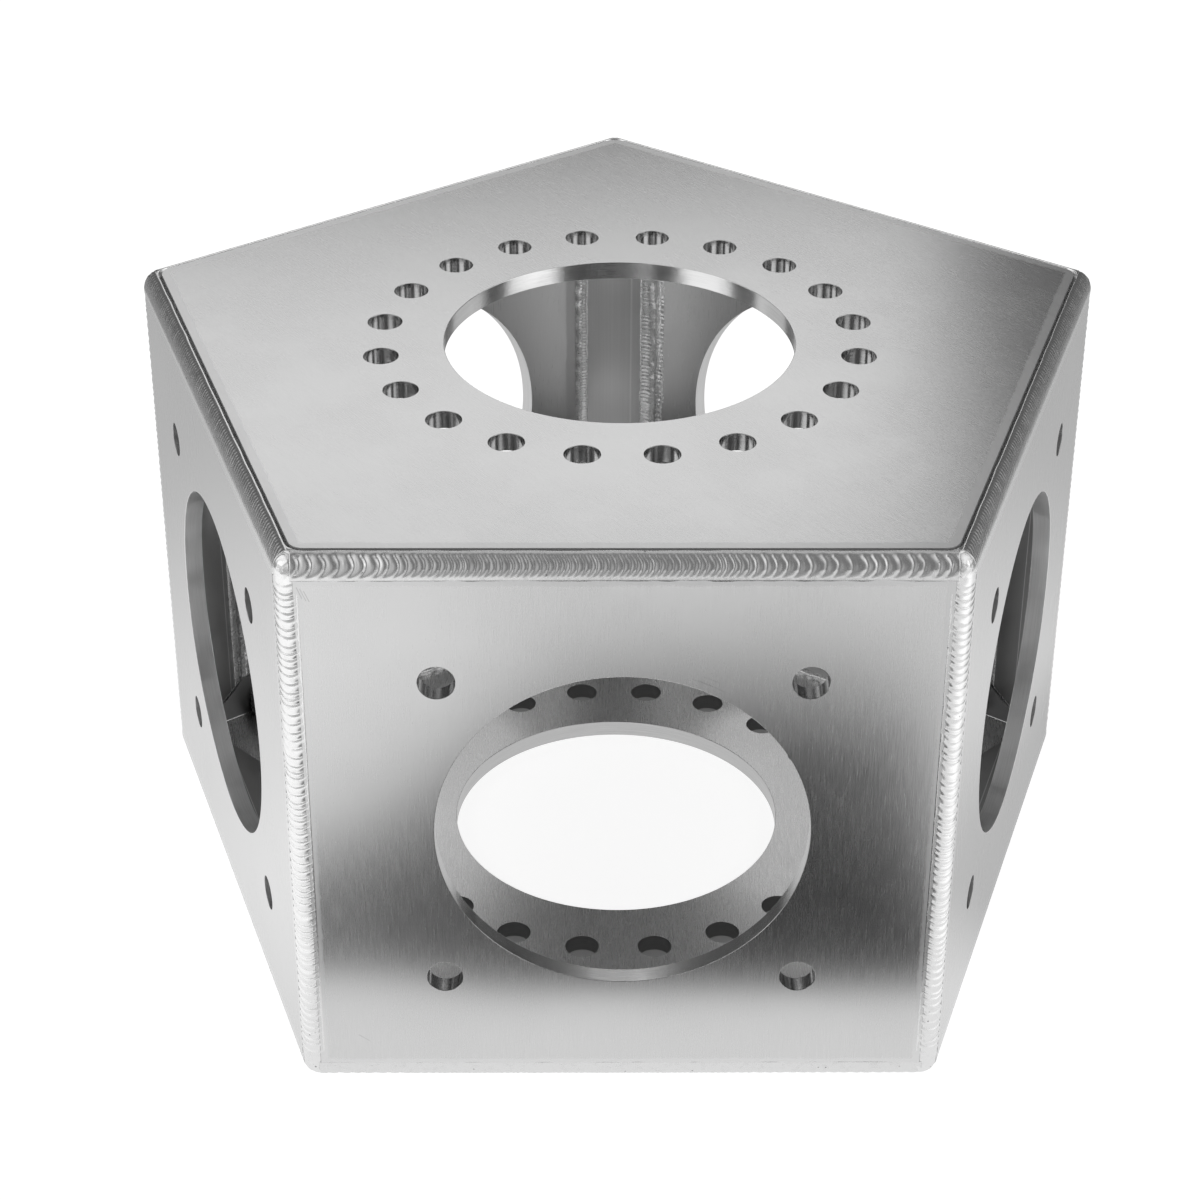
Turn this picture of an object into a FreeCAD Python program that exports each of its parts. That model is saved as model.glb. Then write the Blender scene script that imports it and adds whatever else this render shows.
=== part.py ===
"""Truss junction block: a welded five-sided box of bored aluminium plate.

Lengths are in millimetres. The frame has +Z up, and its origin lies on the block's axis in the plane
of the underside, at the mouth of the bottom bore. The front plate faces -Y.

Two pentagonal end plates and five side plates meet inner edge to inner edge, which leaves an open
groove along every outside edge. A weld bead fills each groove. Inside, a flat bar lies across each
seam as backing, and is welded along both edges and over both ends.
"""
import FreeCAD
import Part
import Sketcher
import math
import os

Vector = FreeCAD.Vector
Rotation = FreeCAD.Rotation
UP = Vector(0, 0, 1)
DOWN = Vector(0, 0, -1)

SIDES = 5
FULL_TURN = 360.0
TURN = FULL_TURN / SIDES
RIGHT_ANGLE = 90.0
CORNER_HALF_ANGLE = RIGHT_ANGLE - TURN / 2
SEAM_HALF_ANGLE = RIGHT_ANGLE / 2
SIDE_NAMES = ("front", "right_front", "right_rear", "left_rear", "left_front")
CORNER_NAMES = ("front_right", "right", "rear", "left", "front_left")
FRONT_ANGLE = -RIGHT_ANGLE

# Driving sizes, one row each: alias, value, meaning
SIZES = (
    ("tall", 304.8, "height over both end plates"),
    ("plate_thick", 9.525, "thickness of every plate"),
    ("inner_side", 298.45, "width of a side plate, and side of the inner pentagon"),
    ("bore_wide", 177.8, "diameter of the bore in every plate"),
    ("bolt_square", 171.45, "side of the square of four bolt holes round each bore"),
    ("bolt_hole", 17.4625, "diameter of a bolt hole"),
    ("end_holes", 20, "bolt holes in the circle of an end plate"),
    ("side_holes", 4, "bolt holes round the bore of a side plate"),
    ("bar_wide", 31.75, "width of a backing bar"),
    ("bar_thick", 6.35, "thickness of a backing bar"),
    ("corner_bar_gap", 25.4, "from an end plate to the end of an upright backing bar"),
    ("seam_bar_gap", 47.625, "from an inside corner to the end of a level backing bar"),
    ("bar_end_weld", 12.7, "length of the weld over the end of a backing bar"),
    ("bead_crown", 0.4, "rise of an inside bead above the chord of its face"),
    ("fillet_leg", 9.525, "leg of the fillet weld in each three-way inside corner"),
)

doc = FreeCAD.newDocument("truss_junction_block")
sheet = doc.addObject("Spreadsheet::Sheet", "Sizes")
for row, (alias, value, meaning) in enumerate(SIZES, start=1):
    sheet.set(f"A{row}", meaning)
    sheet.set(f"B{row}", str(value))
    sheet.setAlias(f"B{row}", alias)
doc.recompute()

# Lengths worked out from the driving sizes, as expressions
TALL = "Sizes.tall"
THICK = "Sizes.plate_thick"
INNER_APOTHEM = f"(Sizes.inner_side / 2 / tan({TURN / 2} deg))"
INNER_RADIUS = f"(Sizes.inner_side / 2 / sin({TURN / 2} deg))"
BOLT_CIRCLE = "(Sizes.bolt_square * sqrt(2) / 2)"
SIDE_TALL = "(Sizes.tall - 2 * Sizes.plate_thick)"

nodes = []


def side_angle(index):
    """Compass angle of a side's outward normal, in degrees."""
    return FRONT_ANGLE + index * TURN


def corner_angle(index):
    """Compass angle of the upright corner that follows a side."""
    return FRONT_ANGLE + (index + 0.5) * TURN


def heading(angle):
    """Unit vector in the level plane at a compass angle."""
    return Vector(math.cos(math.radians(angle)), math.sin(math.radians(angle)), 0)


def place(piece, rotation, radius, angle, level):
    """Turn a piece, then tie its place to the sheet by radius, angle and level."""
    piece.Placement = FreeCAD.Placement(Vector(0, 0, 0), rotation)
    piece.setExpression("Placement.Base.x", f"{radius} * cos({angle} deg)")
    piece.setExpression("Placement.Base.y", f"{radius} * sin({angle} deg)")
    piece.setExpression("Placement.Base.z", level)


def new_body(label):
    """Start a solid piece that gets a file of its own."""
    body = doc.addObject("PartDesign::Body", label)
    body.Label = label
    nodes.append(body)
    return body


def origin_plane(body, role):
    """One of the body's own origin planes, by its role."""
    return next(item for item in body.Origin.OriginFeatures if item.Role == role)


def body_sketch(body, name, plane="XY_Plane", lift=None):
    """A sketch on an origin plane of the body, raised along its normal where a lift is given."""
    sketch = body.newObject("Sketcher::SketchObject", name)
    sketch.AttachmentSupport = [(origin_plane(body, plane), "")]
    sketch.MapMode = "FlatFace"
    if lift:
        sketch.setExpression("AttachmentOffset.Base.z", lift)
    return sketch


def bind(sketch, index, name, expression):
    """Name a constraint and tie it to the sheet."""
    sketch.renameConstraint(index, name)
    sketch.setExpression(f"Constraints.{name}", expression)


def closed_run(sketch, points):
    """Straight lines through the points and back to the first, joined end to end."""
    count = len(points)
    lines = []
    for index in range(count):
        line = Part.LineSegment(points[index], points[(index + 1) % count])
        lines.append(sketch.addGeometry(line, False))
    for index in range(count):
        sketch.addConstraint(
            Sketcher.Constraint("Coincident", lines[index], 2, lines[(index + 1) % count], 1))
    return lines


def pad(body, sketch, length, midplane=False):
    """Pad a sketch to a length from the sheet."""
    feature = body.newObject("PartDesign::Pad", "Pad")
    feature.Profile = sketch
    feature.setExpression("Length", length)
    feature.Midplane = midplane
    sketch.Visibility = False
    return feature


def bore(body):
    """Cut the round bore through a plate, from its inner face outwards."""
    sketch = body_sketch(body, "BoreSketch")
    radius = sheet.bore_wide / 2
    circle = sketch.addGeometry(Part.Circle(Vector(0, 0, 0), Vector(0, 0, 1), radius), False)
    sketch.addConstraint(Sketcher.Constraint("Coincident", circle, 3, -1, 1))
    bind(sketch, sketch.addConstraint(Sketcher.Constraint("Radius", circle, radius)),
         "bore_radius", "Sizes.bore_wide / 2")
    cut = body.newObject("PartDesign::Pocket", "Bore")
    cut.Profile = sketch
    cut.Type = "ThroughAll"
    cut.Reversed = True
    doc.recompute()


def bolt_holes(body, count_alias, first_angle):
    """Drill one bolt hole from the outer face and repeat it round the bore."""
    sketch = body_sketch(body, "HoleSketch", lift=THICK)
    reach = sheet.bolt_square * math.sqrt(2) / 2
    centre = heading(first_angle) * reach
    ray = sketch.addGeometry(Part.LineSegment(Vector(0, 0, 0), centre), True)
    sketch.addConstraint(Sketcher.Constraint("Coincident", ray, 1, -1, 1))
    bind(sketch, sketch.addConstraint(Sketcher.Constraint("Distance", ray, reach)),
         "bolt_circle", BOLT_CIRCLE)
    sketch.addConstraint(
        Sketcher.Constraint("Angle", -1, 1, ray, 1, math.radians(first_angle)))
    mark = sketch.addGeometry(Part.Circle(centre, Vector(0, 0, 1), sheet.bolt_hole / 2), False)
    sketch.addConstraint(Sketcher.Constraint("Coincident", mark, 3, ray, 2))
    bind(sketch, sketch.addConstraint(Sketcher.Constraint("Diameter", mark, sheet.bolt_hole)),
         "hole_wide", "Sizes.bolt_hole")
    doc.recompute()
    hole = body.newObject("PartDesign::Hole", "BoltHole")
    hole.Profile = sketch
    doc.recompute()
    hole.DepthType = "ThroughAll"
    hole.ThreadType = "None"
    hole.setExpression("Diameter", "Sizes.bolt_hole")
    doc.recompute()
    ring = body.newObject("PartDesign::PolarPattern", "BoltCircle")
    ring.Originals = [hole]
    ring.Axis = (sketch, ["N_Axis"])
    ring.Angle = FULL_TURN
    ring.setExpression("Occurrences", f"Sizes.{count_alias}")
    body.Tip = ring
    doc.recompute()


def end_plate(label):
    """Pentagonal end plate, outer face up, with its bore and circle of bolt holes."""
    body = new_body(label)
    sketch = body_sketch(body, "Outline")
    radius = sheet.inner_side / 2 / math.sin(math.radians(TURN / 2))
    points = [heading(corner_angle(index)) * radius for index in range(SIDES)]
    lines = closed_run(sketch, points)
    guide = sketch.addGeometry(Part.Circle(Vector(0, 0, 0), Vector(0, 0, 1), radius), True)
    sketch.addConstraint(Sketcher.Constraint("Coincident", guide, 3, -1, 1))
    for line in lines:
        sketch.addConstraint(Sketcher.Constraint("PointOnObject", line, 1, guide))
    for line in lines[1:]:
        sketch.addConstraint(Sketcher.Constraint("Equal", lines[0], line))
    rear = CORNER_NAMES.index("rear")
    sketch.addConstraint(Sketcher.Constraint("PointOnObject", lines[rear], 1, -2))
    bind(sketch, sketch.addConstraint(Sketcher.Constraint("Distance", lines[0], sheet.inner_side)),
         "side", "Sizes.inner_side")
    pad(body, sketch, THICK)
    bore(body)
    bolt_holes(body, "end_holes", RIGHT_ANGLE + FULL_TURN / 2 / sheet.end_holes)
    return body


def side_plate(label):
    """Rectangular side plate, centred, outer face up, with its bore and four bolt holes."""
    body = new_body(label)
    sketch = body_sketch(body, "Outline")
    wide = sheet.inner_side
    high = sheet.tall - 2 * sheet.plate_thick
    corners = [Vector(x * wide / 2, y * high / 2, 0) for x, y in ((-1, -1), (1, -1), (1, 1), (-1, 1))]
    lines = closed_run(sketch, corners)
    for line, kind in zip(lines, ("Horizontal", "Vertical", "Horizontal", "Vertical")):
        sketch.addConstraint(Sketcher.Constraint(kind, line))
    sketch.addConstraint(Sketcher.Constraint("Symmetric", lines[0], 1, lines[2], 1, -1, 1))
    bind(sketch, sketch.addConstraint(Sketcher.Constraint("Distance", lines[0], wide)),
         "width", "Sizes.inner_side")
    bind(sketch, sketch.addConstraint(Sketcher.Constraint("Distance", lines[1], high)),
         "height", SIDE_TALL)
    pad(body, sketch, THICK)
    bore(body)
    bolt_holes(body, "side_holes", FULL_TURN / 2 / sheet.side_holes)
    return body


def edge_bead(label):
    """Weld bead along a level outside edge: a quarter round on the line where two plates meet."""
    body = new_body(label)
    sketch = body_sketch(body, "Section")
    radius = sheet.plate_thick
    foot = sketch.addGeometry(Part.LineSegment(Vector(0, 0, 0), Vector(radius, 0, 0)), False)
    face = sketch.addGeometry(
        Part.ArcOfCircle(Part.Circle(Vector(0, 0, 0), Vector(0, 0, 1), radius), 0, math.pi / 2), False)
    back = sketch.addGeometry(Part.LineSegment(Vector(0, radius, 0), Vector(0, 0, 0)), False)
    sketch.addConstraint(Sketcher.Constraint("Coincident", foot, 1, -1, 1))
    sketch.addConstraint(Sketcher.Constraint("Coincident", back, 2, -1, 1))
    sketch.addConstraint(Sketcher.Constraint("Coincident", face, 3, -1, 1))
    sketch.addConstraint(Sketcher.Constraint("Coincident", foot, 2, face, 1))
    sketch.addConstraint(Sketcher.Constraint("Coincident", face, 2, back, 1))
    sketch.addConstraint(Sketcher.Constraint("Horizontal", foot))
    sketch.addConstraint(Sketcher.Constraint("Vertical", back))
    bind(sketch, sketch.addConstraint(Sketcher.Constraint("Radius", face, radius)), "throat", THICK)
    pad(body, sketch, "Sizes.inner_side", midplane=True)
    return body


def corner_bead(label):
    """Weld bead up an outside corner, with a round blob at each end where three beads meet."""
    body = new_body(label)
    sketch = body_sketch(body, "Section", "XZ_Plane")
    radius = sheet.plate_thick
    top = sheet.tall
    normal = Vector(0, 0, 1)
    low = Part.ArcOfCircle(Part.Circle(Vector(0, radius, 0), normal, radius), -math.pi / 2, 0)
    high = Part.ArcOfCircle(Part.Circle(Vector(0, top - radius, 0), normal, radius), 0, math.pi / 2)
    low = sketch.addGeometry(low, False)
    face = sketch.addGeometry(
        Part.LineSegment(Vector(radius, radius, 0), Vector(radius, top - radius, 0)), False)
    high = sketch.addGeometry(high, False)
    root = sketch.addGeometry(Part.LineSegment(Vector(0, top, 0), Vector(0, 0, 0)), False)
    sketch.addConstraint(Sketcher.Constraint("Coincident", root, 2, -1, 1))
    sketch.addConstraint(Sketcher.Constraint("Coincident", root, 2, low, 1))
    sketch.addConstraint(Sketcher.Constraint("Coincident", high, 2, root, 1))
    sketch.addConstraint(Sketcher.Constraint("Tangent", low, 2, face, 1))
    sketch.addConstraint(Sketcher.Constraint("Tangent", face, 2, high, 1))
    sketch.addConstraint(Sketcher.Constraint("PointOnObject", low, 3, -2))
    sketch.addConstraint(Sketcher.Constraint("PointOnObject", high, 3, -2))
    sketch.addConstraint(Sketcher.Constraint("Vertical", root))
    bind(sketch, sketch.addConstraint(Sketcher.Constraint("Radius", low, radius)), "throat", THICK)
    bind(sketch, sketch.addConstraint(Sketcher.Constraint("Distance", root, top)), "height", TALL)
    turned = body.newObject("PartDesign::Revolution", "Bead")
    turned.Profile = sketch
    turned.ReferenceAxis = (sketch, ["V_Axis"])
    turned.Angle = TURN
    turned.Midplane = True
    sketch.Visibility = False
    return body


def bar_offset(half_angle):
    """How far the back of a bar stands from an inside corner of a given half angle."""
    return f"(Sizes.bar_wide / 2 / tan({half_angle} deg))"


def backing_bar(label, half_angle, length):
    """Flat bar across an inside corner. The corner line is the local Z, the opening faces +Y."""
    body = new_body(label)
    sketch = body_sketch(body, "Section")
    wide = sheet.bar_wide
    back = wide / 2 / math.tan(math.radians(half_angle))
    front = back + sheet.bar_thick
    points = [Vector(-wide / 2, back, 0), Vector(wide / 2, back, 0),
              Vector(wide / 2, front, 0), Vector(-wide / 2, front, 0)]
    lines = closed_run(sketch, points)
    for line, kind in zip(lines[1:], ("Vertical", "Horizontal", "Vertical")):
        sketch.addConstraint(Sketcher.Constraint(kind, line))
    sketch.addConstraint(Sketcher.Constraint("Symmetric", lines[0], 1, lines[0], 2, -2))
    bind(sketch, sketch.addConstraint(Sketcher.Constraint("Distance", lines[0], wide)),
         "width", "Sizes.bar_wide")
    bind(sketch, sketch.addConstraint(Sketcher.Constraint("Distance", lines[1], sheet.bar_thick)),
         "thickness", "Sizes.bar_thick")
    bind(sketch, sketch.addConstraint(Sketcher.Constraint("DistanceY", -1, 1, lines[0], 1, back)),
         "back", bar_offset(half_angle))
    pad(body, sketch, length, midplane=True)
    return body


def bead_section(name, half_angle, hand):
    """Section of the bead between a bar's edge and the wall, on the side that hand gives."""
    sketch = doc.addObject("Sketcher::SketchObject", name)
    half = sheet.bar_wide / 2
    slope = math.tan(math.radians(half_angle))
    back = half / slope
    front = back + sheet.bar_thick
    root = Vector(hand * half, back, 0)
    lip = Vector(hand * half, front, 0)
    toe = Vector(hand * front * slope, front, 0)
    crown = Vector((lip.x + toe.x) / 2, front + sheet.bead_crown, 0)
    edge = sketch.addGeometry(Part.LineSegment(root, lip), False)
    wall = sketch.addGeometry(Part.LineSegment(toe, root), False)
    face = sketch.addGeometry(Part.Arc(lip, crown, toe), False)
    ends = {1: sketch.getPoint(face, 1), 2: sketch.getPoint(face, 2)}
    at_lip = min(ends, key=lambda end: (ends[end] - lip).Length)
    sketch.addConstraint(Sketcher.Constraint("Coincident", edge, 1, wall, 2))
    sketch.addConstraint(Sketcher.Constraint("Coincident", edge, 2, face, at_lip))
    sketch.addConstraint(Sketcher.Constraint("Coincident", wall, 1, face, 3 - at_lip))
    sketch.addConstraint(Sketcher.Constraint("Vertical", edge))
    sketch.addConstraint(Sketcher.Constraint("PointOnObject", -1, 1, wall))
    sketch.addConstraint(Sketcher.Constraint("Horizontal", edge, 2, wall, 1))
    bind(sketch, sketch.addConstraint(Sketcher.Constraint("Distance", edge, sheet.bar_thick)),
         "thickness", "Sizes.bar_thick")
    bind(sketch, sketch.addConstraint(Sketcher.Constraint("DistanceY", -1, 1, edge, 1, back)),
         "back", bar_offset(half_angle))
    if hand > 0:
        reach = Sketcher.Constraint("DistanceX", -1, 1, edge, 1, half)
    else:
        reach = Sketcher.Constraint("DistanceX", edge, 1, -1, 1, half)
    bind(sketch, sketch.addConstraint(reach), "half_width", "Sizes.bar_wide / 2")
    chord = abs(toe.x - lip.x)
    radius = (chord ** 2 / 4 + sheet.bead_crown ** 2) / (2 * sheet.bead_crown)
    chord_text = f"(Sizes.bar_thick * tan({half_angle} deg))"
    bind(sketch, sketch.addConstraint(Sketcher.Constraint("Radius", face, radius)), "face_radius",
         f"({chord_text} ^ 2 / 4 + Sizes.bead_crown ^ 2) / (2 * Sizes.bead_crown)")
    return sketch


def wedge_section(name, half_angle):
    """Section of the weld that closes the hollow behind a bar at its end."""
    sketch = doc.addObject("Sketcher::SketchObject", name)
    front = sheet.bar_wide / 2 / math.tan(math.radians(half_angle)) + sheet.bar_thick
    reach = front * math.tan(math.radians(half_angle))
    lines = closed_run(sketch, [Vector(0, 0, 0), Vector(reach, front, 0), Vector(-reach, front, 0)])
    sketch.addConstraint(Sketcher.Constraint("Coincident", lines[0], 1, -1, 1))
    sketch.addConstraint(Sketcher.Constraint("Symmetric", lines[1], 1, lines[1], 2, -2))
    bind(sketch, sketch.addConstraint(Sketcher.Constraint("DistanceY", -1, 1, lines[1], 1, front)),
         "front", f"{bar_offset(half_angle)} + Sizes.bar_thick")
    bind(sketch, sketch.addConstraint(Sketcher.Constraint("Distance", lines[1], 2 * reach)),
         "width", f"2 * ({bar_offset(half_angle)} + Sizes.bar_thick) * tan({half_angle} deg)")
    return sketch


def run_of(sketch, name, length, start):
    """Extrude a section along its corner line, from a start to a length."""
    solid = doc.addObject("Part::Extrusion", name)
    solid.Base = sketch
    solid.DirMode = "Custom"
    solid.Dir = Vector(0, 0, 1)
    solid.Solid = True
    solid.setExpression("LengthFwd", length)
    solid.setExpression("Placement.Base.z", start)
    return solid


def bar_weld_parts(prefix, half_angle, length):
    """The four runs that hold a bar: one along each edge, one over each end."""
    right = bead_section(f"{prefix}_right_section", half_angle, 1)
    left = bead_section(f"{prefix}_left_section", half_angle, -1)
    wedge = wedge_section(f"{prefix}_end_section", half_angle)
    start = f"-{length} / 2"
    return [
        run_of(right, f"{prefix}_right_run", length, start),
        run_of(left, f"{prefix}_left_run", length, start),
        run_of(wedge, f"{prefix}_low_end", "Sizes.bar_end_weld", f"{start} - Sizes.bar_end_weld"),
        run_of(wedge, f"{prefix}_high_end", "Sizes.bar_end_weld", f"{length} / 2"),
    ]


def bar_welds(label, runs):
    """Group the runs of one bar as one piece of weld metal."""
    group = doc.addObject("Part::Compound", label)
    group.Label = label
    group.Links = runs
    nodes.append(group)
    return group


def seam_fillet(name, half_angle, length):
    """Plain three-cornered fillet along a corner line, starting at the local origin."""
    sketch = doc.addObject("Sketcher::SketchObject", f"{name}_section")
    leg = sheet.fillet_leg
    along = Vector(math.sin(math.radians(half_angle)), math.cos(math.radians(half_angle)), 0) * leg
    lines = closed_run(sketch, [Vector(0, 0, 0), along, Vector(-along.x, along.y, 0)])
    sketch.addConstraint(Sketcher.Constraint("Coincident", lines[0], 1, -1, 1))
    sketch.addConstraint(Sketcher.Constraint("Symmetric", lines[1], 1, lines[1], 2, -2))
    bind(sketch, sketch.addConstraint(Sketcher.Constraint("Distance", lines[0], leg)),
         "leg", "Sizes.fillet_leg")
    bind(sketch, sketch.addConstraint(Sketcher.Constraint("Distance", lines[1], 2 * along.x)),
         "face", f"2 * Sizes.fillet_leg * sin({half_angle} deg)")
    return run_of(sketch, name, length, "0")


def level_seam_turn(normal, up, along):
    """Rotation that lays a local corner frame along a level seam, opening between two walls."""
    opening = (up - normal) * (1 / math.sqrt(2))
    across = opening.cross(along)
    return Rotation(across, opening, along, "ZYX")


def three_way_fillet(prefix, index, up, level, cavity):
    """Fillet weld in the inside corner of two side plates and an end plate, up to the bars."""
    angle = corner_angle(index)
    upright = seam_fillet(f"{prefix}_upright", CORNER_HALF_ANGLE,
                          "Sizes.corner_bar_gap - Sizes.bar_end_weld")
    inward = heading(angle) * -1
    place(upright, Rotation(inward.cross(up), inward, up, "ZYX"), INNER_RADIUS, angle, level)
    runs = [upright]
    for hand in (-1, 1):
        normal = heading(angle + hand * TURN / 2)
        away = UP.cross(normal) * -hand
        side = "before" if hand < 0 else "after"
        level_run = seam_fillet(f"{prefix}_level_{side}", SEAM_HALF_ANGLE,
                                "Sizes.seam_bar_gap - Sizes.bar_end_weld")
        place(level_run, level_seam_turn(normal, up, away), INNER_RADIUS, angle, level)
        runs.append(level_run)
    joined = doc.addObject("Part::MultiFuse", f"{prefix}_joined")
    joined.Shapes = runs
    inside = doc.addObject("Part::Common", f"{prefix}_weld")
    inside.Base = joined
    inside.Tool = cavity
    return inside


def cavity_block():
    """The hollow inside the block, which trims the corner fillets to the walls."""
    prism = doc.addObject("Part::Prism", "cavity")
    prism.Polygon = SIDES
    prism.setExpression("Circumradius", INNER_RADIUS)
    prism.setExpression("Height", SIDE_TALL)
    place(prism, Rotation(UP, corner_angle(0)), "0 mm", 0, THICK)
    return prism


# End plates
top_plate = end_plate("top_plate")
place(top_plate, Rotation(), "0 mm", 0, f"{TALL} - {THICK}")
bottom_plate = end_plate("bottom_plate")
place(bottom_plate, Rotation(Vector(0, 1, 0), 2 * RIGHT_ANGLE), "0 mm", 0, THICK)

# Side plates, turned so that the outer face looks outwards and the local Y stands up
for index, name in enumerate(SIDE_NAMES):
    plate = side_plate(f"{name}_plate")
    outward = heading(side_angle(index))
    turn = Rotation(UP.cross(outward), UP, outward, "YZX")
    place(plate, turn, INNER_APOTHEM, side_angle(index), f"{TALL} / 2")

# Weld beads along the outside edges
for index, name in enumerate(SIDE_NAMES):
    outward = heading(side_angle(index))
    top_bead = edge_bead(f"top_bead_{name}")
    place(top_bead, Rotation(outward, UP, outward.cross(UP), "XYZ"),
          INNER_APOTHEM, side_angle(index), f"{TALL} - {THICK}")
    bottom_bead = edge_bead(f"bottom_bead_{name}")
    place(bottom_bead, Rotation(outward, DOWN, outward.cross(DOWN), "XYZ"),
          INNER_APOTHEM, side_angle(index), THICK)

# Weld beads up the outside corners
for index, name in enumerate(CORNER_NAMES):
    bead = corner_bead(f"corner_bead_{name}")
    place(bead, Rotation(UP, corner_angle(index)), INNER_RADIUS, corner_angle(index), "0 mm")

# Upright backing bars and their welds, across the inside corners
CORNER_BAR_LENGTH = f"({SIDE_TALL} - 2 * Sizes.corner_bar_gap)"
corner_runs = bar_weld_parts("corner", CORNER_HALF_ANGLE, CORNER_BAR_LENGTH)
for index, name in enumerate(CORNER_NAMES):
    inward = heading(corner_angle(index)) * -1
    turn = Rotation(inward.cross(UP), inward, UP, "ZYX")
    for piece in (backing_bar(f"corner_bar_{name}", CORNER_HALF_ANGLE, CORNER_BAR_LENGTH),
                  bar_welds(f"corner_bar_weld_{name}", corner_runs)):
        place(piece, turn, INNER_RADIUS, corner_angle(index), f"{TALL} / 2")

# Level backing bars and their welds, along the top and bottom seams
SEAM_BAR_LENGTH = "(Sizes.inner_side - 2 * Sizes.seam_bar_gap)"
seam_runs = bar_weld_parts("seam", SEAM_HALF_ANGLE, SEAM_BAR_LENGTH)
for index, name in enumerate(SIDE_NAMES):
    outward = heading(side_angle(index))
    along = UP.cross(outward)
    for end, up, level in (("bottom", UP, THICK), ("top", DOWN, f"{TALL} - {THICK}")):
        turn = level_seam_turn(outward, up, along)
        for piece in (backing_bar(f"{end}_bar_{name}", SEAM_HALF_ANGLE, SEAM_BAR_LENGTH),
                      bar_welds(f"{end}_bar_weld_{name}", seam_runs)):
            place(piece, turn, INNER_APOTHEM, side_angle(index), level)

# Fillet welds in the three-way inside corners
cavity = cavity_block()
for end, up, level in (("bottom", UP, THICK), ("top", DOWN, f"{TALL} - {THICK}")):
    fillets = doc.addObject("Part::Compound", f"{end}_corner_fillets")
    fillets.Label = f"{end}_corner_fillets"
    fillets.Links = [three_way_fillet(f"{end}_{name}", index, up, level, cavity)
                     for index, name in enumerate(CORNER_NAMES)]
    nodes.append(fillets)

doc.recompute()

# Every object must have built, and every piece must be a sound solid
failed = [item.Name for item in doc.Objects if "Invalid" in item.State or "Error" in item.State]
if failed:
    raise RuntimeError(f"objects that failed to build: {failed}")
for node in nodes:
    if node.Shape.isNull() or not node.Shape.isValid() or not node.Shape.Solids:
        raise RuntimeError(f"{node.Label} is not a sound solid")

os.makedirs("parts", exist_ok=True)
for node in nodes:
    node.Shape.exportStep(f"parts/{node.Label}.step")
print(f"{len(nodes)} pieces, {sum(len(node.Shape.Solids) for node in nodes)} solids")
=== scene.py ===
"""Dresses the truss junction block: brushed plate, machined bores, rippled weld beads and backing bars.

Lengths are in metres. The frame is that of the solids: +Z up, the origin on the block's axis in the
plane of the underside, and the front plate facing -Y.
"""
from __future__ import annotations

import logging
import math
import random
from bisect import bisect_right
from dataclasses import dataclass, field, replace
from enum import Enum, IntEnum
from functools import cached_property
from typing import Any, Sequence

import bmesh
import bpy
from mathutils import Matrix, Vector, noise

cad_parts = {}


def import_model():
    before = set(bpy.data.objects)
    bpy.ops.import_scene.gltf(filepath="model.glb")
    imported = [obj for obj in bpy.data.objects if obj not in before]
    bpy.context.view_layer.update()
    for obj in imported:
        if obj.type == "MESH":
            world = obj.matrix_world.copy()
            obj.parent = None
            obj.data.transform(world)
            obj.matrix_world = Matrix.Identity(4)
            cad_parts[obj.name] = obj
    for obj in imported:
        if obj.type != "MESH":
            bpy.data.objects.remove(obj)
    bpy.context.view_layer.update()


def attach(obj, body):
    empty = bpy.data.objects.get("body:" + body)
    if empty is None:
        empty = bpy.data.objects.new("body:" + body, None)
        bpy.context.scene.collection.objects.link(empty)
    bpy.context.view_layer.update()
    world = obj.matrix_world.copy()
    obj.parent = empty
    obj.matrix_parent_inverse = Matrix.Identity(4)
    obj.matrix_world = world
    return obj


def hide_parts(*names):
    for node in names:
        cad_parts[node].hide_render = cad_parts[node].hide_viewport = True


MM = 0.001
UP = Vector((0.0, 0.0, 1.0))
BODY = "root"
# Half of the angle between two side plates, in degrees.
HALF_CORNER = 54.0
# Depth of the grain of a plate and of the pin holes of a weld.
SKIN_DEPTH = 0.022 * MM

log = logging.getLogger("junction_block")


@dataclass(frozen=True)
class BlockSizes:
    """Sizes of the block, the same as in the solids."""

    tall: float = 304.8 * MM
    thick: float = 9.525 * MM
    inner_side: float = 298.45 * MM
    bore_wide: float = 177.8 * MM
    bolt_square: float = 171.45 * MM
    bolt_hole: float = 17.4625 * MM
    end_holes: int = 20
    side_holes: int = 4
    bar_wide: float = 31.75 * MM
    bar_thick: float = 6.35 * MM
    corner_bar_gap: float = 25.4 * MM
    seam_bar_gap: float = 47.625 * MM
    bar_end_weld: float = 12.7 * MM

    @property
    def inner_apothem(self) -> float:
        """Distance from the axis to the inner face of a side plate."""
        return self.inner_side / 2 / math.tan(math.pi / 5)

    @property
    def inner_radius(self) -> float:
        """Distance from the axis to an upright inside corner."""
        return self.inner_side / 2 / math.sin(math.pi / 5)

    @property
    def bolt_circle(self) -> float:
        """Radius of the circle through the bolt holes."""
        return self.bolt_square / math.sqrt(2)


class Side(Enum):
    """The five side plates, counted from the front."""

    FRONT = 0
    RIGHT_FRONT = 1
    RIGHT_REAR = 2
    LEFT_REAR = 3
    LEFT_FRONT = 4

    @property
    def label(self) -> str:
        """The side's name as the nodes spell it."""
        return self.name.lower()

    @property
    def outward(self) -> Vector:
        """Level unit vector out of the plate."""
        return heading(-90 + 72 * self.value)


class Corner(Enum):
    """The five upright corners. Each follows the side of the same number."""

    FRONT_RIGHT = 0
    RIGHT = 1
    REAR = 2
    LEFT = 3
    FRONT_LEFT = 4

    @property
    def label(self) -> str:
        """The corner's name as the nodes spell it."""
        return self.name.lower()

    @property
    def outward(self) -> Vector:
        """Level unit vector from the axis to the corner."""
        return heading(-54 + 72 * self.value)


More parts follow.
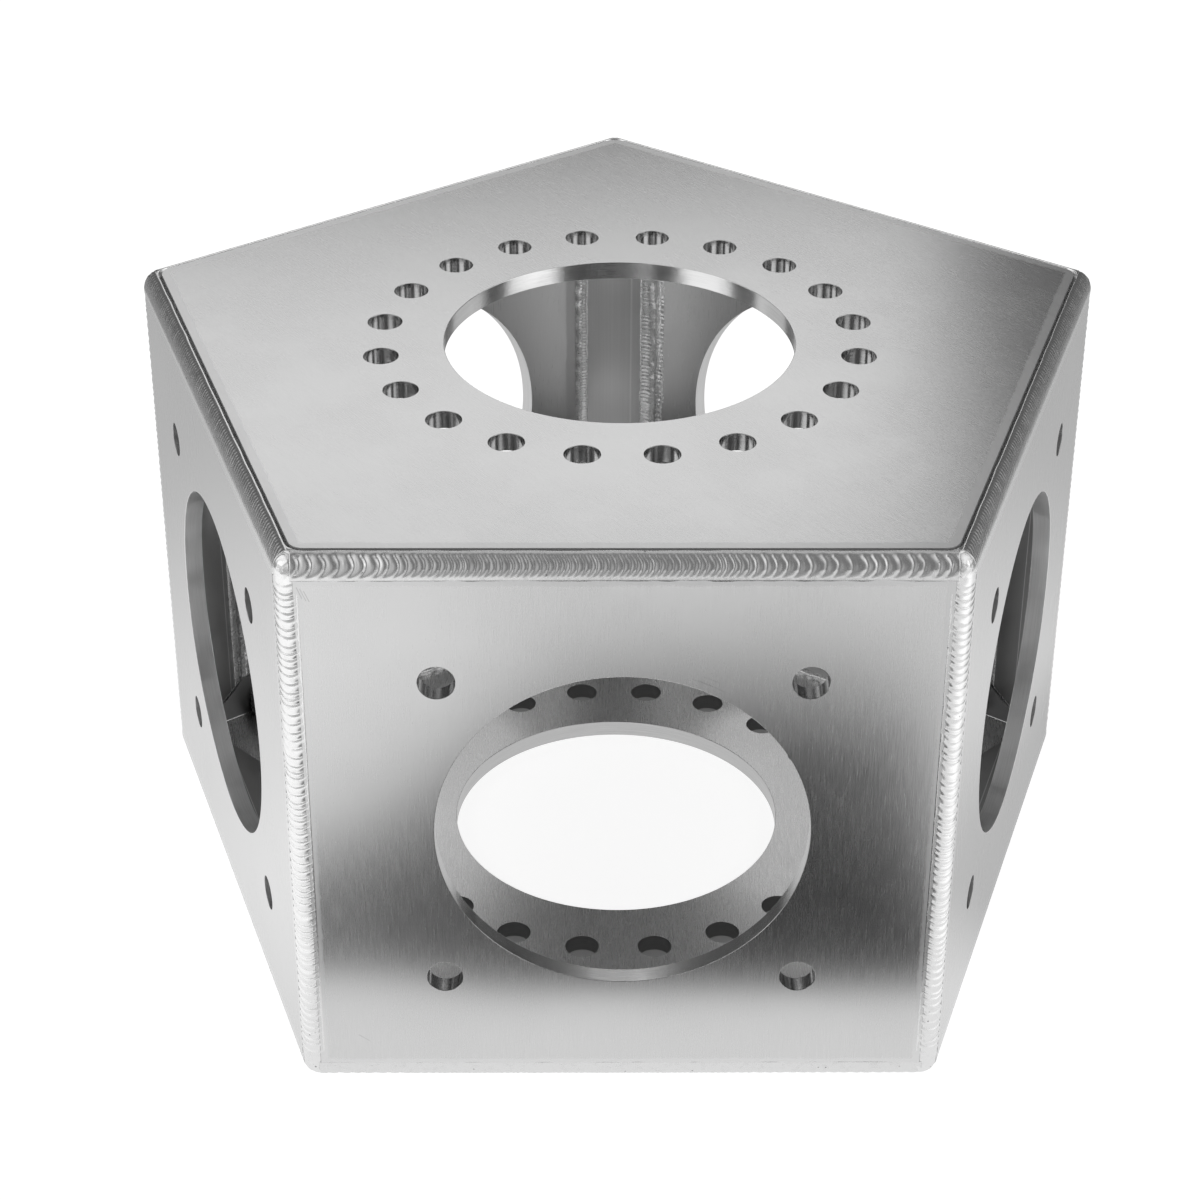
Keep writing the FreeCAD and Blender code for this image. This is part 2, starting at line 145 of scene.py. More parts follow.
class End(Enum):
    """The two ends of the block. The value is the direction out of the end."""

    BOTTOM = -1
    TOP = 1

    @property
    def label(self) -> str:
        """The end's name as the nodes spell it."""
        return self.name.lower()


def heading(degrees: float) -> Vector:
    """Level unit vector at a compass angle."""
    return Vector((math.cos(math.radians(degrees)), math.sin(math.radians(degrees)), 0.0))


def placing(origin: Vector, across: Vector, upward: Vector, outward: Vector) -> Matrix:
    """Matrix that lays local X, Y and Z along three directions.

    Args:
        origin: where the local origin goes.
        across: direction of local X.
        upward: direction of local Y.
        outward: direction of local Z.

    Returns:
        The 4 by 4 matrix.
    """
    turn = Matrix((across, upward, outward)).transposed()
    return Matrix.Translation(origin) @ turn.to_4x4()


def smoothstep(low: float, high: float, value: float) -> float:
    """Soft step from 0 at low to 1 at high."""
    share = min(1.0, max(0.0, (value - low) / (high - low)))
    return share * share * (3 - 2 * share)


# Shader wiring


class Wiring:
    """Adds nodes to one tree and joins them up."""

    def __init__(self, tree: bpy.types.NodeTree) -> None:
        """Take the tree to work on.

        Args:
            tree: a material's, world's or group's node tree.
        """
        self.tree = tree

    def add(self, kind: str, **settings: Any) -> bpy.types.Node:
        """Add one node.

        Args:
            kind: the node's type name.
            settings: properties to set on it.

        Returns:
            The new node.
        """
        node = self.tree.nodes.new(kind)
        for name, value in settings.items():
            setattr(node, name, value)
        return node

    def feed(self, target: bpy.types.NodeSocket, source: Any) -> None:
        """Link a socket to a source socket, or set its plain value.

        Args:
            target: the input socket.
            source: an output socket, a number, a colour or a vector.
        """
        if isinstance(source, bpy.types.NodeSocket):
            self.tree.links.new(source, target)
        else:
            target.default_value = source

    def number(self, operation: str, first: Any, second: Any = 0.0, clamp: bool = False) -> bpy.types.NodeSocket:
        """Work out one number from two.

        Args:
            operation: the Math node's operation.
            first: socket or number.
            second: socket or number.
            clamp: keep the result between 0 and 1.

        Returns:
            The result's socket.
        """
        node = self.add("ShaderNodeMath", operation=operation, use_clamp=clamp)
        self.feed(node.inputs[0], first)
        self.feed(node.inputs[1], second)
        return node.outputs[0]

    def vector(self, operation: str, first: Any, second: Any = None, gives: str = "Vector") -> bpy.types.NodeSocket:
        """Work out one vector, or one number, from one or two vectors.

        Args:
            operation: the Vector Math node's operation.
            first: socket or vector.
            second: socket or vector, or None where the operation takes only one.
            gives: "Vector", or "Value" for a number.

        Returns:
            The result's socket.
        """
        node = self.add("ShaderNodeVectorMath", operation=operation)
        self.feed(node.inputs[0], first)
        if second is not None:
            self.feed(node.inputs[1], second)
        return node.outputs[gives]

    def product(self, first: Any, *others: Any) -> Any:
        """Multiply numbers together.

        Args:
            first: socket or number.
            others: sockets or numbers.

        Returns:
            The product's socket.
        """
        for other in others:
            first = self.number("MULTIPLY", first, other)
        return first

    def dimmed(self, value: Any, mask: Any) -> bpy.types.NodeSocket:
        """Lower a number by the share that a mask gives.

        Args:
            value: socket or number.
            mask: socket of the share that is taken off.

        Returns:
            Socket of the lowered number.
        """
        return self.product(value, self.number("SUBTRACT", 1.0, mask))

    def along(self, vector: Any, direction: Sequence[float]) -> bpy.types.NodeSocket:
        """Length of a vector along a direction.

        Args:
            vector: socket of the vector.
            direction: the fixed direction.

        Returns:
            Socket of the dot product.
        """
        return self.vector("DOT_PRODUCT", vector, tuple(direction), "Value")

    def span(self, value: Any, from_low: Any, from_high: Any, to_low: Any = 0.0,
             to_high: Any = 1.0, soft: bool = True) -> bpy.types.NodeSocket:
        """Map a number from one range to another, held at the ends.

        Args:
            value: socket of the number.
            from_low: start of the first range.
            from_high: end of the first range.
            to_low: result at the start.
            to_high: result at the end.
            soft: ease in and out.

        Returns:
            The result's socket.
        """
        node = self.add("ShaderNodeMapRange", interpolation_type="SMOOTHSTEP" if soft else "LINEAR")
        for name, source in (("Value", value), ("From Min", from_low), ("From Max", from_high),
                             ("To Min", to_low), ("To Max", to_high)):
            self.feed(node.inputs[name], source)
        return node.outputs["Result"]

    def blend(self, share: Any, first: Any, second: Any) -> bpy.types.NodeSocket:
        """Mix two colours.

        Args:
            share: socket or number, 0 for the first and 1 for the second.
            first: socket or colour.
            second: socket or colour.

        Returns:
            Socket of the mixed colour.
        """
        node = self.add("ShaderNodeMix", data_type="RGBA")
        self.feed(node.inputs["Factor"], share)
        self.feed(node.inputs["A"], first)
        self.feed(node.inputs["B"], second)
        return next(item for item in node.outputs if item.type == "RGBA")

    def blend_numbers(self, share: Any, first: Any, second: Any) -> bpy.types.NodeSocket:
        """Mix two numbers.

        Args:
            share: socket or number, 0 for the first and 1 for the second.
            first: socket or number.
            second: socket or number.

        Returns:
            Socket of the mixed number.
        """
        node = self.add("ShaderNodeMix", data_type="FLOAT")
        self.feed(node.inputs["Factor"], share)
        self.feed(node.inputs["A"], first)
        self.feed(node.inputs["B"], second)
        return node.outputs["Result"]

    def turned(self, vector: Any, angles: Sequence[float]) -> bpy.types.NodeSocket:
        """Turn a vector about the three axes.

        Args:
            vector: socket of the vector.
            angles: angle about each axis, in radians.

        Returns:
            Socket of the new vector.
        """
        node = self.add("ShaderNodeMapping", vector_type="POINT")
        self.feed(node.inputs["Vector"], vector)
        node.inputs["Rotation"].default_value = tuple(angles)
        return node.outputs["Vector"]

    def scaled(self, vector: Any, scale: Sequence[float], turn: float = 0.0) -> bpy.types.NodeSocket:
        """Turn a vector about Z, then scale it.

        Args:
            vector: socket of the vector.
            scale: factor for each axis.
            turn: angle in radians.

        Returns:
            Socket of the new vector.
        """
        return self.vector("MULTIPLY", self.turned(vector, (0.0, 0.0, turn)), tuple(scale))

    def noise(self, vector: Any, seed: Any, scale: Any = 1.0, detail: float = 2.0,
              rough: float = 0.5) -> bpy.types.NodeSocket:
        """Seeded noise.

        Args:
            vector: socket of the vector.
            seed: socket or number that picks the pattern.
            scale: socket or number, lumps for each unit of the vector.
            detail: octaves.
            rough: weight of the finer octaves.

        Returns:
            Socket of the noise, about 0.3 to 0.7.
        """
        node = self.add("ShaderNodeTexNoise", noise_dimensions="4D")
        self.feed(node.inputs["Vector"], vector)
        self.feed(node.inputs["W"], seed)
        self.feed(node.inputs["Scale"], scale)
        node.inputs["Detail"].default_value = detail
        node.inputs["Roughness"].default_value = rough
        return node.outputs["Fac"]


class EffectGroups:
    """Node groups for the effects that several finishes share, each built once."""

    @staticmethod
    def start(name: str, takes: Sequence[tuple[str, str]],
              gives: Sequence[str]) -> tuple[bpy.types.NodeTree, dict[str, Any], bpy.types.Node, Wiring]:
        """Open a new group with named inputs and outputs.

        Args:
            name: the group's name.
            takes: name and socket type of each input.
            gives: name of each number that it puts out.

        Returns:
            The tree, its input sockets by name, its output node and a wiring for it.
        """
        tree = bpy.data.node_groups.new(name, "ShaderNodeTree")
        for label, kind in takes:
            tree.interface.new_socket(label, in_out="INPUT", socket_type=kind)
        for label in gives:
            tree.interface.new_socket(label, in_out="OUTPUT", socket_type="NodeSocketFloat")
        wire = Wiring(tree)
        entry = wire.add("NodeGroupInput")
        leave = wire.add("NodeGroupOutput")
        return tree, {item.name: item for item in entry.outputs}, leave, wire

    @cached_property
    def grain(self) -> bpy.types.NodeTree:
        """Drawn or brushed grain: long fine streaks along local Y, and soft patches.

        Returns:
            The group's tree.
        """
        tree, given, leave, wire = self.start(
            "brushed_grain",
            (("Vector", "NodeSocketVector"), ("Fineness", "NodeSocketFloat"),
             ("Stretch", "NodeSocketFloat"), ("Seed", "NodeSocketFloat")),
            ("Streak", "Speckle", "Patch"))
        squash = wire.number("DIVIDE", 1.0, given["Stretch"])
        shape = wire.add("ShaderNodeCombineXYZ")
        shape.inputs["X"].default_value = 1.0
        shape.inputs["Z"].default_value = 1.0
        wire.feed(shape.inputs["Y"], squash)
        stretched = wire.vector("MULTIPLY", given["Vector"], shape.outputs["Vector"])
        streak = wire.noise(stretched, given["Seed"], given["Fineness"], detail=3.0, rough=0.65)
        short = wire.scaled(given["Vector"], (1.0, 0.22, 1.0))
        speckle = wire.noise(short, given["Seed"], wire.product(given["Fineness"], 1.4), detail=2.0, rough=0.6)
        patch = wire.noise(given["Vector"], given["Seed"], 17.0, detail=3.0, rough=0.55)
        wire.feed(leave.inputs["Streak"], streak)
        wire.feed(leave.inputs["Speckle"], speckle)
        wire.feed(leave.inputs["Patch"], patch)
        return tree

    @cached_property
    def marks(self) -> bpy.types.NodeTree:
        """Stray hairline scratches that run across the grain.

        Returns:
            The group's tree.
        """
        tree, given, leave, wire = self.start(
            "hairline_marks",
            (("Vector", "NodeSocketVector"), ("Seed", "NodeSocketFloat"), ("Amount", "NodeSocketFloat")),
            ("Mask",))
        masks = []
        for turn, shift in ((0.7, 3.1), (-0.95, 11.7)):
            lane = wire.scaled(given["Vector"], (900.0, 16.0, 1.0), turn)
            seed = wire.number("ADD", given["Seed"], shift)
            hair = wire.noise(lane, seed, 1.0, detail=1.0, rough=0.4)
            where = wire.noise(given["Vector"], seed, 9.0, detail=1.0, rough=0.5)
            thin = wire.span(hair, 0.735, 0.80)
            here = wire.span(where, wire.number("SUBTRACT", 0.72, given["Amount"]), 0.74)
            masks.append(wire.product(thin, here))
        wire.feed(leave.inputs["Mask"], wire.number("MAXIMUM", masks[0], masks[1]))
        return tree

    @cached_property
    def seam_band(self) -> bpy.types.NodeTree:
        """Band on the plate beside a weld, with a wandering edge. Outside it is a cleaned band; on the inner faces it
        carries painted shade.

        Returns:
            The group's tree.
        """
        tree, given, leave, wire = self.start(
            "seam_band",
            (("Vector", "NodeSocketVector"), ("Distance", "NodeSocketFloat"), ("Width", "NodeSocketFloat"),
             ("Seed", "NodeSocketFloat")),
            ("Mask",))
        wander = wire.noise(given["Vector"], given["Seed"], 120.0, detail=3.0, rough=0.6)
        off = wire.product(wire.number("SUBTRACT", wander, 0.5), 3.0 * MM)
        reach = wire.number("ADD", given["Distance"], off)
        edge = wire.number("ADD", given["Width"], 1.8 * MM)
        wire.feed(leave.inputs["Mask"], wire.span(reach, given["Width"], edge, 1.0, 0.0))
        return tree

    @cached_property
    def weld_skin(self) -> bpy.types.NodeTree:
        """Frozen skin of weld metal: fine crystals, dull spots and pin holes.

        Returns:
            The group's tree.
        """
        tree, given, leave, wire = self.start(
            "weld_skin", (("Vector", "NodeSocketVector"), ("Seed", "NodeSocketFloat")),
            ("Crystal", "Spot", "Pit"))
        crystal = wire.noise(given["Vector"], given["Seed"], 2600.0, detail=2.0, rough=0.6)
        spot = wire.span(wire.noise(given["Vector"], given["Seed"], 320.0, detail=3.0, rough=0.6), 0.46, 0.72)
        cells = wire.add("ShaderNodeTexVoronoi", feature="F1")
        wire.feed(cells.inputs["Vector"], given["Vector"])
        cells.inputs["Scale"].default_value = 240.0
        near = wire.span(cells.outputs["Distance"], 0.07, 0.13, 1.0, 0.0)
        rare = wire.span(wire.noise(given["Vector"], given["Seed"], 90.0, detail=1.0, rough=0.5), 0.56, 0.64)
        wire.feed(leave.inputs["Crystal"], crystal)
        wire.feed(leave.inputs["Spot"], spot)
        wire.feed(leave.inputs["Pit"], wire.product(near, rare))
        return tree

    @cached_property
    def stroke(self) -> bpy.types.NodeTree:
        """One short scored line between two points of a plate.

        Returns:
            The group's tree.
        """
        tree, given, leave, wire = self.start(
            "scored_line",
            (("Vector", "NodeSocketVector"), ("From", "NodeSocketVector"), ("To", "NodeSocketVector"),
             ("Width", "NodeSocketFloat")),
            ("Mask",))
        line = wire.vector("SUBTRACT", given["To"], given["From"])
        here = wire.vector("SUBTRACT", given["Vector"], given["From"])
        share = wire.number("DIVIDE", wire.vector("DOT_PRODUCT", here, line, "Value"),
                            wire.vector("DOT_PRODUCT", line, line, "Value"), clamp=True)
        reach = wire.add("ShaderNodeVectorMath", operation="SCALE")
        wire.feed(reach.inputs[0], line)
        wire.feed(reach.inputs["Scale"], share)
        gap = wire.vector("DISTANCE", here, reach.outputs["Vector"], "Value")
        wire.feed(leave.inputs["Mask"], wire.span(gap, 0.0, given["Width"], 1.0, 0.0))
        return tree

    def place(self, wire: Wiring, tree: bpy.types.NodeTree, **values: Any) -> dict[str, bpy.types.NodeSocket]:
        """Put a group into a material with its own values.

        Args:
            wire: wiring of the material.
            tree: the group.
            values: source of each input, by name.

        Returns:
            The group's output sockets by name.
        """
        node = wire.add("ShaderNodeGroup", node_tree=tree)
        for name, source in values.items():
            wire.feed(node.inputs[name], source)
        return {item.name: item for item in node.outputs}


def grey(level: float) -> tuple[float, float, float, float]:
    """A neutral colour with full cover."""
    return (level, level, level, 1.0)


class BareMetal:
    """A bare metal material in the making."""

    def __init__(self, name: str) -> None:
        """Start the material.

        Args:
            name: the material's name.
        """
        self.material = bpy.data.materials.new(name)
        self.material.use_nodes = True
        self.wire = Wiring(self.material.node_tree)
        self.shader = self.material.node_tree.nodes["Principled BSDF"]
        self.shader.inputs["Metallic"].default_value = 1.0
        self.place = self.wire.add("ShaderNodeTexCoord").outputs["Object"]

    def finished(self, colour: Any, rough: Any, height: Any, depth: float) -> bpy.types.Material:
        """Feed the shader.

        Args:
            colour: socket of the colour.
            rough: socket of the roughness.
            height: socket of the surface's height, 0 to 1.
            depth: real depth of a height of 1.

        Returns:
            The finished material.
        """
        bump = self.wire.add("ShaderNodeBump")
        bump.inputs["Strength"].default_value = 1.0
        bump.inputs["Distance"].default_value = depth
        self.wire.feed(bump.inputs["Height"], height)
        self.wire.feed(self.shader.inputs["Normal"], bump.outputs["Normal"])
        self.wire.feed(self.shader.inputs["Base Color"], colour)
        self.wire.feed(self.shader.inputs["Roughness"], rough)
        return self.material


@dataclass(frozen=True)
class Scratch:
    """One scored line on a plate, in the plate's own plane."""

    start: tuple[float, float]
    stop: tuple[float, float]
    width: float = 0.35 * MM


@dataclass(frozen=True)
class PlateFinish:
    """Brushed mill plate. The grain's turn is measured from the plate's own Y.

    The edges are the directions of the welded edges, each with its distance from the middle. On a face given a shaded
    end, painted shade darkens the colour towards its own +X (1) or -X (-1).
    """

    name: str
    seed: float
    grain_turn: float = 0.0
    tone: float = 0.80
    roughness: float = 0.25
    edges: tuple[tuple[float, float], ...] = ()
    edge_reach: tuple[float, ...] = ()
    band: float = 3.6 * MM
    band_tone: float = 1.12
    scratches: tuple[Scratch, ...] = ()
    scratch_level: float = 0.0
    dim_end: int = 0

    def build(self, groups: EffectGroups) -> bpy.types.Material:
        """Make the material.

        Args:
            groups: the shared effects.

        Returns:
            The finished material.
        """
        metal = BareMetal(self.name)
        wire, place = metal.wire, metal.place
        lane = wire.scaled(place, (1.0, 1.0, 1.0), self.grain_turn)
        grain = groups.place(wire, groups.grain, Vector=lane, Fineness=2600.0, Stretch=34.0, Seed=self.seed)
        marks = groups.place(wire, groups.marks, Vector=place, Seed=self.seed, Amount=0.12)["Mask"]
        streak = wire.span(grain["Streak"], 0.3, 0.7, soft=False)
        patch = wire.span(grain["Patch"], 0.3, 0.7)
        colour = wire.blend(streak, grey(self.tone * 0.95), grey(self.tone * 1.03))
        colour = wire.blend(wire.product(patch, 0.2), colour, grey(self.tone * 0.95))
        colour = wire.blend(wire.product(marks, 0.35), colour, grey(self.tone * 0.62))
        rough = wire.number("ADD", wire.span(streak, 0.0, 1.0, -0.035, 0.035, soft=False),
                            wire.span(patch, 0.0, 1.0, self.roughness - 0.008, self.roughness + 0.012))
        height = wire.number("ADD", wire.product(grain["Streak"], 0.65), wire.product(grain["Speckle"], 0.35))
        if self.edges:
            # The band beside the welds: a lighter cleaned band where the band tone is above 1, painted shade where it
            # is below 1.
            beside = self.seam_mask(wire, groups, place)
            colour = wire.blend(wire.product(beside, 0.6), colour, grey(min(0.95, self.tone * self.band_tone)))
            rough = wire.number("ADD", rough, wire.product(beside, 0.08))
        # Painted shade: the colour darkens towards one end of the face.
        if self.dim_end:
            far = wire.span(wire.along(place, (self.dim_end, 0.0, 0.0)), 10 * MM, 105 * MM)
            colour = wire.blend(wire.product(far, 0.9), colour, grey(self.tone * 0.3))
        for scratch in self.scratches:
            line = groups.place(wire, groups.stroke, Vector=place, From=(*scratch.start, self.scratch_level),
                                To=(*scratch.stop, self.scratch_level), Width=scratch.width)["Mask"]
            colour = wire.blend(wire.product(line, 0.55), colour, grey(self.tone * 0.45))
        return metal.finished(colour, rough, height, SKIN_DEPTH)

    def seam_mask(self, wire: Wiring, groups: EffectGroups, place: Any) -> bpy.types.NodeSocket:
        """Mask of the band beside the plate's welded edges.

        Args:
            wire: wiring of the material.
            groups: the shared effects.
            place: socket of the plate's own coordinates.

        Returns:
            Socket of the mask.
        """
        gap: Any = None
        for (across, upward), reach in zip(self.edges, self.edge_reach):
            here = wire.number("SUBTRACT", reach, wire.along(place, (across, upward, 0.0)))
            gap = here if gap is None else wire.number("MINIMUM", gap, here)
        return groups.place(wire, groups.seam_band, Vector=place, Distance=gap, Width=self.band,
                            Seed=self.seed)["Mask"]


@dataclass(frozen=True)
class MachinedFinish:
    """Wall of a bored or drilled hole, with fine lines round it. The dark spot is a painted reflection, centred on a
    place in the plate's plane.
    """

    name: str
    tone: float = 0.84
    roughness: float = 0.15
    dull_spot: tuple[float, float] | None = None
    line_depth: float = 0.012 * MM

    def build(self) -> bpy.types.Material:
        """Make the material.

        Returns:
            The finished material.
        """
        metal = BareMetal(self.name)
        wire, place = metal.wire, metal.place
        lane = wire.scaled(place, (40.0, 40.0, 4200.0))
        line = wire.span(wire.noise(lane, 4.0, 1.0, detail=3.0, rough=0.6), 0.32, 0.68, soft=False)
        cloud = wire.noise(place, 2.0, 60.0, detail=2.0, rough=0.5)
        colour = wire.blend(line, grey(self.tone * 0.88), grey(self.tone * 1.05))
        # Painted reflection: the wall darkens round the spot.
        if self.dull_spot:
            off = wire.vector("DISTANCE", place, (*self.dull_spot, 0.0), "Value")
            colour = wire.blend(wire.span(off, 8 * MM, 26 * MM, 1.0, 0.0), colour, grey(self.tone * 0.4))
        rough = wire.span(cloud, 0.3, 0.7, self.roughness - 0.04, self.roughness + 0.07)
        return metal.finished(colour, rough, line, self.line_depth)


@dataclass(frozen=True)
class WeldFinish:
    """Skin of a weld bead."""

    name: str
    seed: float
    tone: float = 0.88
    roughness: float = 0.25
    lumps: float = 0.0

    def build(self, groups: EffectGroups) -> bpy.types.Material:
        """Make the material.

        Args:
            groups: the shared effects.

        Returns:
            The finished material.
        """
        metal = BareMetal(self.name)
        wire, place = metal.wire, metal.place
        skin = groups.place(wire, groups.weld_skin, Vector=place, Seed=self.seed)
        colour = wire.blend(wire.product(skin["Spot"], 0.3), grey(self.tone), grey(self.tone * 0.82))
        colour = wire.blend(skin["Pit"], colour, grey(self.tone * 0.35))
        rough = wire.span(skin["Spot"], 0.0, 1.0, self.roughness, self.roughness + 0.05)
        height = wire.number("SUBTRACT", wire.product(skin["Crystal"], 0.08), skin["Pit"])
        if self.lumps:
            lump = wire.noise(place, self.seed, 210.0, detail=2.0, rough=0.5)
            height = wire.number("ADD", height, wire.product(lump, self.lumps / SKIN_DEPTH))
        return metal.finished(colour, rough, height, SKIN_DEPTH)


@dataclass(frozen=True)
class BarFinish:
    """Extruded flat bar, drawn along its length, handled and a little scuffed.

    The die line is a raised line along the bar, this far to the left of its middle, with a painted highlight along it.
    """

    name: str = "drawn_bar"
    tone: float = 0.74
    roughness: float = 0.34
    die_line: float = 10.2 * MM
    line_depth: float = 0.03 * MM

    def build(self, groups: EffectGroups) -> bpy.types.Material:
        """Make the material.

        Args:
            groups: the shared effects.

        Returns:
            The finished material.
        """
        metal = BareMetal(self.name)
        wire, place = metal.wire, metal.place
        lane = wire.turned(place, (math.pi / 2, 0.0, 0.0))
        grain = groups.place(wire, groups.grain, Vector=lane, Fineness=1100.0, Stretch=120.0, Seed=7.0)
        marks = groups.place(wire, groups.marks, Vector=lane, Seed=5.0, Amount=0.16)["Mask"]
        streak = wire.span(grain["Streak"], 0.3, 0.7, soft=False)
        colour = wire.blend(streak, grey(self.tone * 0.96), grey(self.tone * 1.03))
        colour = wire.blend(wire.product(marks, 0.4), colour, grey(self.tone * 0.6))
        beside = wire.number("ABSOLUTE", wire.number("ADD", wire.along(place, (1.0, 0.0, 0.0)), self.die_line))
        line = wire.span(beside, 0.2 * MM, 0.7 * MM, 1.0, 0.0)
        # Painted highlight: besides being raised, the line is coloured lighter.
        colour = wire.blend(wire.product(line, 0.7), colour, grey(0.95))
        rough = wire.span(grain["Patch"], 0.3, 0.7, self.roughness - 0.05, self.roughness + 0.07)
        height = wire.number("ADD", wire.product(grain["Streak"], 0.4), line)
        return metal.finished(colour, rough, height, self.line_depth)


# Pieces


def add_piece(node: str, mesh: bpy.types.Mesh, place: Matrix, slot: str, *materials: bpy.types.Material) -> None:
    """Put a mesh into the scene in place of the solids of one node.

    Args:
        node: the node that it stands for.
        mesh: its mesh, in its own frame.
        place: where its own frame goes.
        slot: the record's material slot; not used.
        materials: its materials, in slot order.
    """
    mesh.name = f"dressed_{node}"
    piece = bpy.data.objects.new(mesh.name, mesh)
    bpy.context.scene.collection.objects.link(piece)
    piece.matrix_world = place
    for material in materials:
        mesh.materials.append(material)
    bpy.context.view_layer.update()
    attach(piece, BODY)
    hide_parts(node)
    log.info("%s: %d faces", piece.name, len(mesh.polygons))


def stations(length: float, step: float) -> list[float]:
    """Evenly spaced places along a run, from one end to the other.

    Args:
        length: length of the run.
        step: least distance between two places.

    Returns:
        The distance of each place from the start.
    """
    steps = int(length / step)
    return [length * index / steps for index in range(steps + 1)]


@dataclass
class MeshPile:
    """Gathers several closed skins into the points and faces of one mesh."""

    points: list[Vector] = field(default_factory=list)
    faces: list[tuple[int, ...]] = field(default_factory=list)

    def sweep(self, rings: Sequence[Sequence[Vector]]) -> None:
        """Join closed rings of equal length into a tube with both ends shut.

        Args:
            rings: the rings, in order along the sweep.
        """
        base = len(self.points)
        count = len(rings[0])
        for ring in rings:
            self.points.extend(ring)
        for row in range(len(rings) - 1):
            low = base + row * count
            for step in range(count):
                after = (step + 1) % count
                self.faces.append((low + step, low + after, low + count + after, low + count + step))
        self.faces.append(tuple(range(base, base + count)))
        last = base + (len(rings) - 1) * count
        self.faces.append(tuple(reversed(range(last, last + count))))

    def mesh(self, place: Matrix) -> bpy.types.Mesh:
        """Make one smooth mesh with its doubled points merged and its faces turned outwards.

        Args:
            place: where the skins' own frame goes in the block's.

        Returns:
            The mesh, in the block's frame.
        """
        mesh = bpy.data.meshes.new("weld")
        mesh.from_pydata([tuple(place @ point) for point in self.points], [], self.faces)
        work = bmesh.new()
        work.from_mesh(mesh)
        bmesh.ops.remove_doubles(work, verts=work.verts, dist=0.001 * MM)
        bmesh.ops.recalc_face_normals(work, faces=work.faces)
        work.to_mesh(mesh)
        work.free()
        mesh.shade_smooth()
        return mesh


class PlateSlot(IntEnum):
    """Where each kind of a plate's faces finds its material."""

    OUTER = 0
    BORED = 1
    INNER = 2
    DRILLED = 3
    RIM = 4


@dataclass
class BoredPlate:
    """Flat plate with a bore, a circle of bolt holes and broken edges. Its outer face looks along +Z."""

    thick: float
    bore_wide: float
    bolt_circle: float
    bolt_hole: float
    holes: int
    first_hole: float
    broken_edge: float = 0.24 * MM
    sharp_angle: float = 12.0
    bore_steps: int = 180
    hole_steps: int = 56

    def ring(self, centre: Vector, radius: float, steps: int) -> list[Vector]:
        """Points of a circle in the plate's plane.

        Args:
            centre: its centre.
            radius: its radius.
            steps: number of points.

        Returns:
            The points.
        """
        return [centre + heading(360 * step / steps) * radius for step in range(steps)]

    def mesh(self, outline: Sequence[Vector]) -> bpy.types.Mesh:
        """Make the plate's mesh, with its faces sorted into the slots.

        Args:
            outline: corners of the plate, at its widest.

        Returns:
            The mesh.
        """
        curve = bpy.data.curves.new("outline", "CURVE")
        curve.dimensions = "2D"
        curve.fill_mode = "BOTH"
        curve.extrude = self.thick / 2 - self.broken_edge
        curve.bevel_depth = self.broken_edge
        curve.bevel_resolution = 1
        loops = [shrink(outline, self.broken_edge),
                 self.ring(Vector(), self.bore_wide / 2 + self.broken_edge, self.bore_steps)]
        for index in range(self.holes):
            centre = heading(self.first_hole + 360 * index / self.holes) * self.bolt_circle
            loops.append(self.ring(centre, self.bolt_hole / 2 + self.broken_edge, self.hole_steps))
        for loop in loops:
            spline = curve.splines.new("POLY")
            spline.points.add(len(loop) - 1)
            for point, place in zip(spline.points, loop):
                point.co = (place.x, place.y, 0.0, 1.0)
            spline.use_cyclic_u = True
        holder = bpy.data.objects.new("outline", curve)
        bpy.context.scene.collection.objects.link(holder)
        bpy.context.view_layer.update()
        graph = bpy.context.evaluated_depsgraph_get()
        mesh = bpy.data.meshes.new_from_object(holder.evaluated_get(graph))
        bpy.data.objects.remove(holder)
        bpy.data.curves.remove(curve)
        self.mend(mesh)
        return mesh

    def near_hole(self, place: Vector) -> bool:
        """Whether a place lies on the wall of one of the bolt holes.

        Args:
            place: the place, in the plate's own frame.

        Returns:
            True on such a wall.
        """
        turn = 2 * math.pi / self.holes
        angle = math.atan2(place.y, place.x) - math.radians(self.first_hole)
        off = angle - turn * round(angle / turn)
        spot = Vector((math.cos(off), math.sin(off))) * place.xy.length
        return (spot - Vector((self.bolt_circle, 0.0))).length < self.bolt_hole / 2 + 2 * self.broken_edge

    def mend(self, mesh: bpy.types.Mesh) -> None:
        """Join the caps to the walls, smooth the walls and sort the faces into their slots.

        Args:
            mesh: the plate's mesh.
        """
        work = bmesh.new()
        work.from_mesh(mesh)
        bmesh.ops.remove_doubles(work, verts=work.verts, dist=0.0005 * MM)
        bmesh.ops.recalc_face_normals(work, faces=work.faces)
        for face in work.faces:
            face.material_index = self.slot_of(face)
            face.smooth = True
        for edge in work.edges:
            edge.smooth = edge.calc_face_angle(0.0) < math.radians(self.sharp_angle)
        work.to_mesh(mesh)
        work.free()

    def slot_of(self, face: bmesh.types.BMFace) -> PlateSlot:
        """The slot that one face belongs in.

        Args:
            face: the face.

        Returns:
            Its slot.
        """
        middle = face.calc_center_median()
        if abs(face.normal.z) > 0.999:
            return PlateSlot.OUTER if face.normal.z > 0 else PlateSlot.INNER
        if abs(middle.xy.length - self.bolt_circle) < self.bolt_hole and self.near_hole(middle):
            return PlateSlot.DRILLED
        return PlateSlot.BORED if middle.xy.length < self.bore_wide / 2 + 1 * MM else PlateSlot.RIM


def shrink(outline: Sequence[Vector], inset: float) -> list[Vector]:
    """Move each side of a polygon inwards. The corners run anticlockwise.

    Args:
        outline: the corners.
        inset: how far each side moves.

    Returns:
        The new corners.
    """
    moved = []
    count = len(outline)
    for index in range(count):
        before = (outline[index] - outline[index - 1]).normalized()
        after = (outline[(index + 1) % count] - outline[index]).normalized()
        inward_before = Vector((-before.y, before.x, 0.0))
        inward_after = Vector((-after.y, after.x, 0.0))
        middle = (inward_before + inward_after).normalized()
        moved.append(outline[index] + middle * (inset / middle.dot(inward_before)))
    return moved


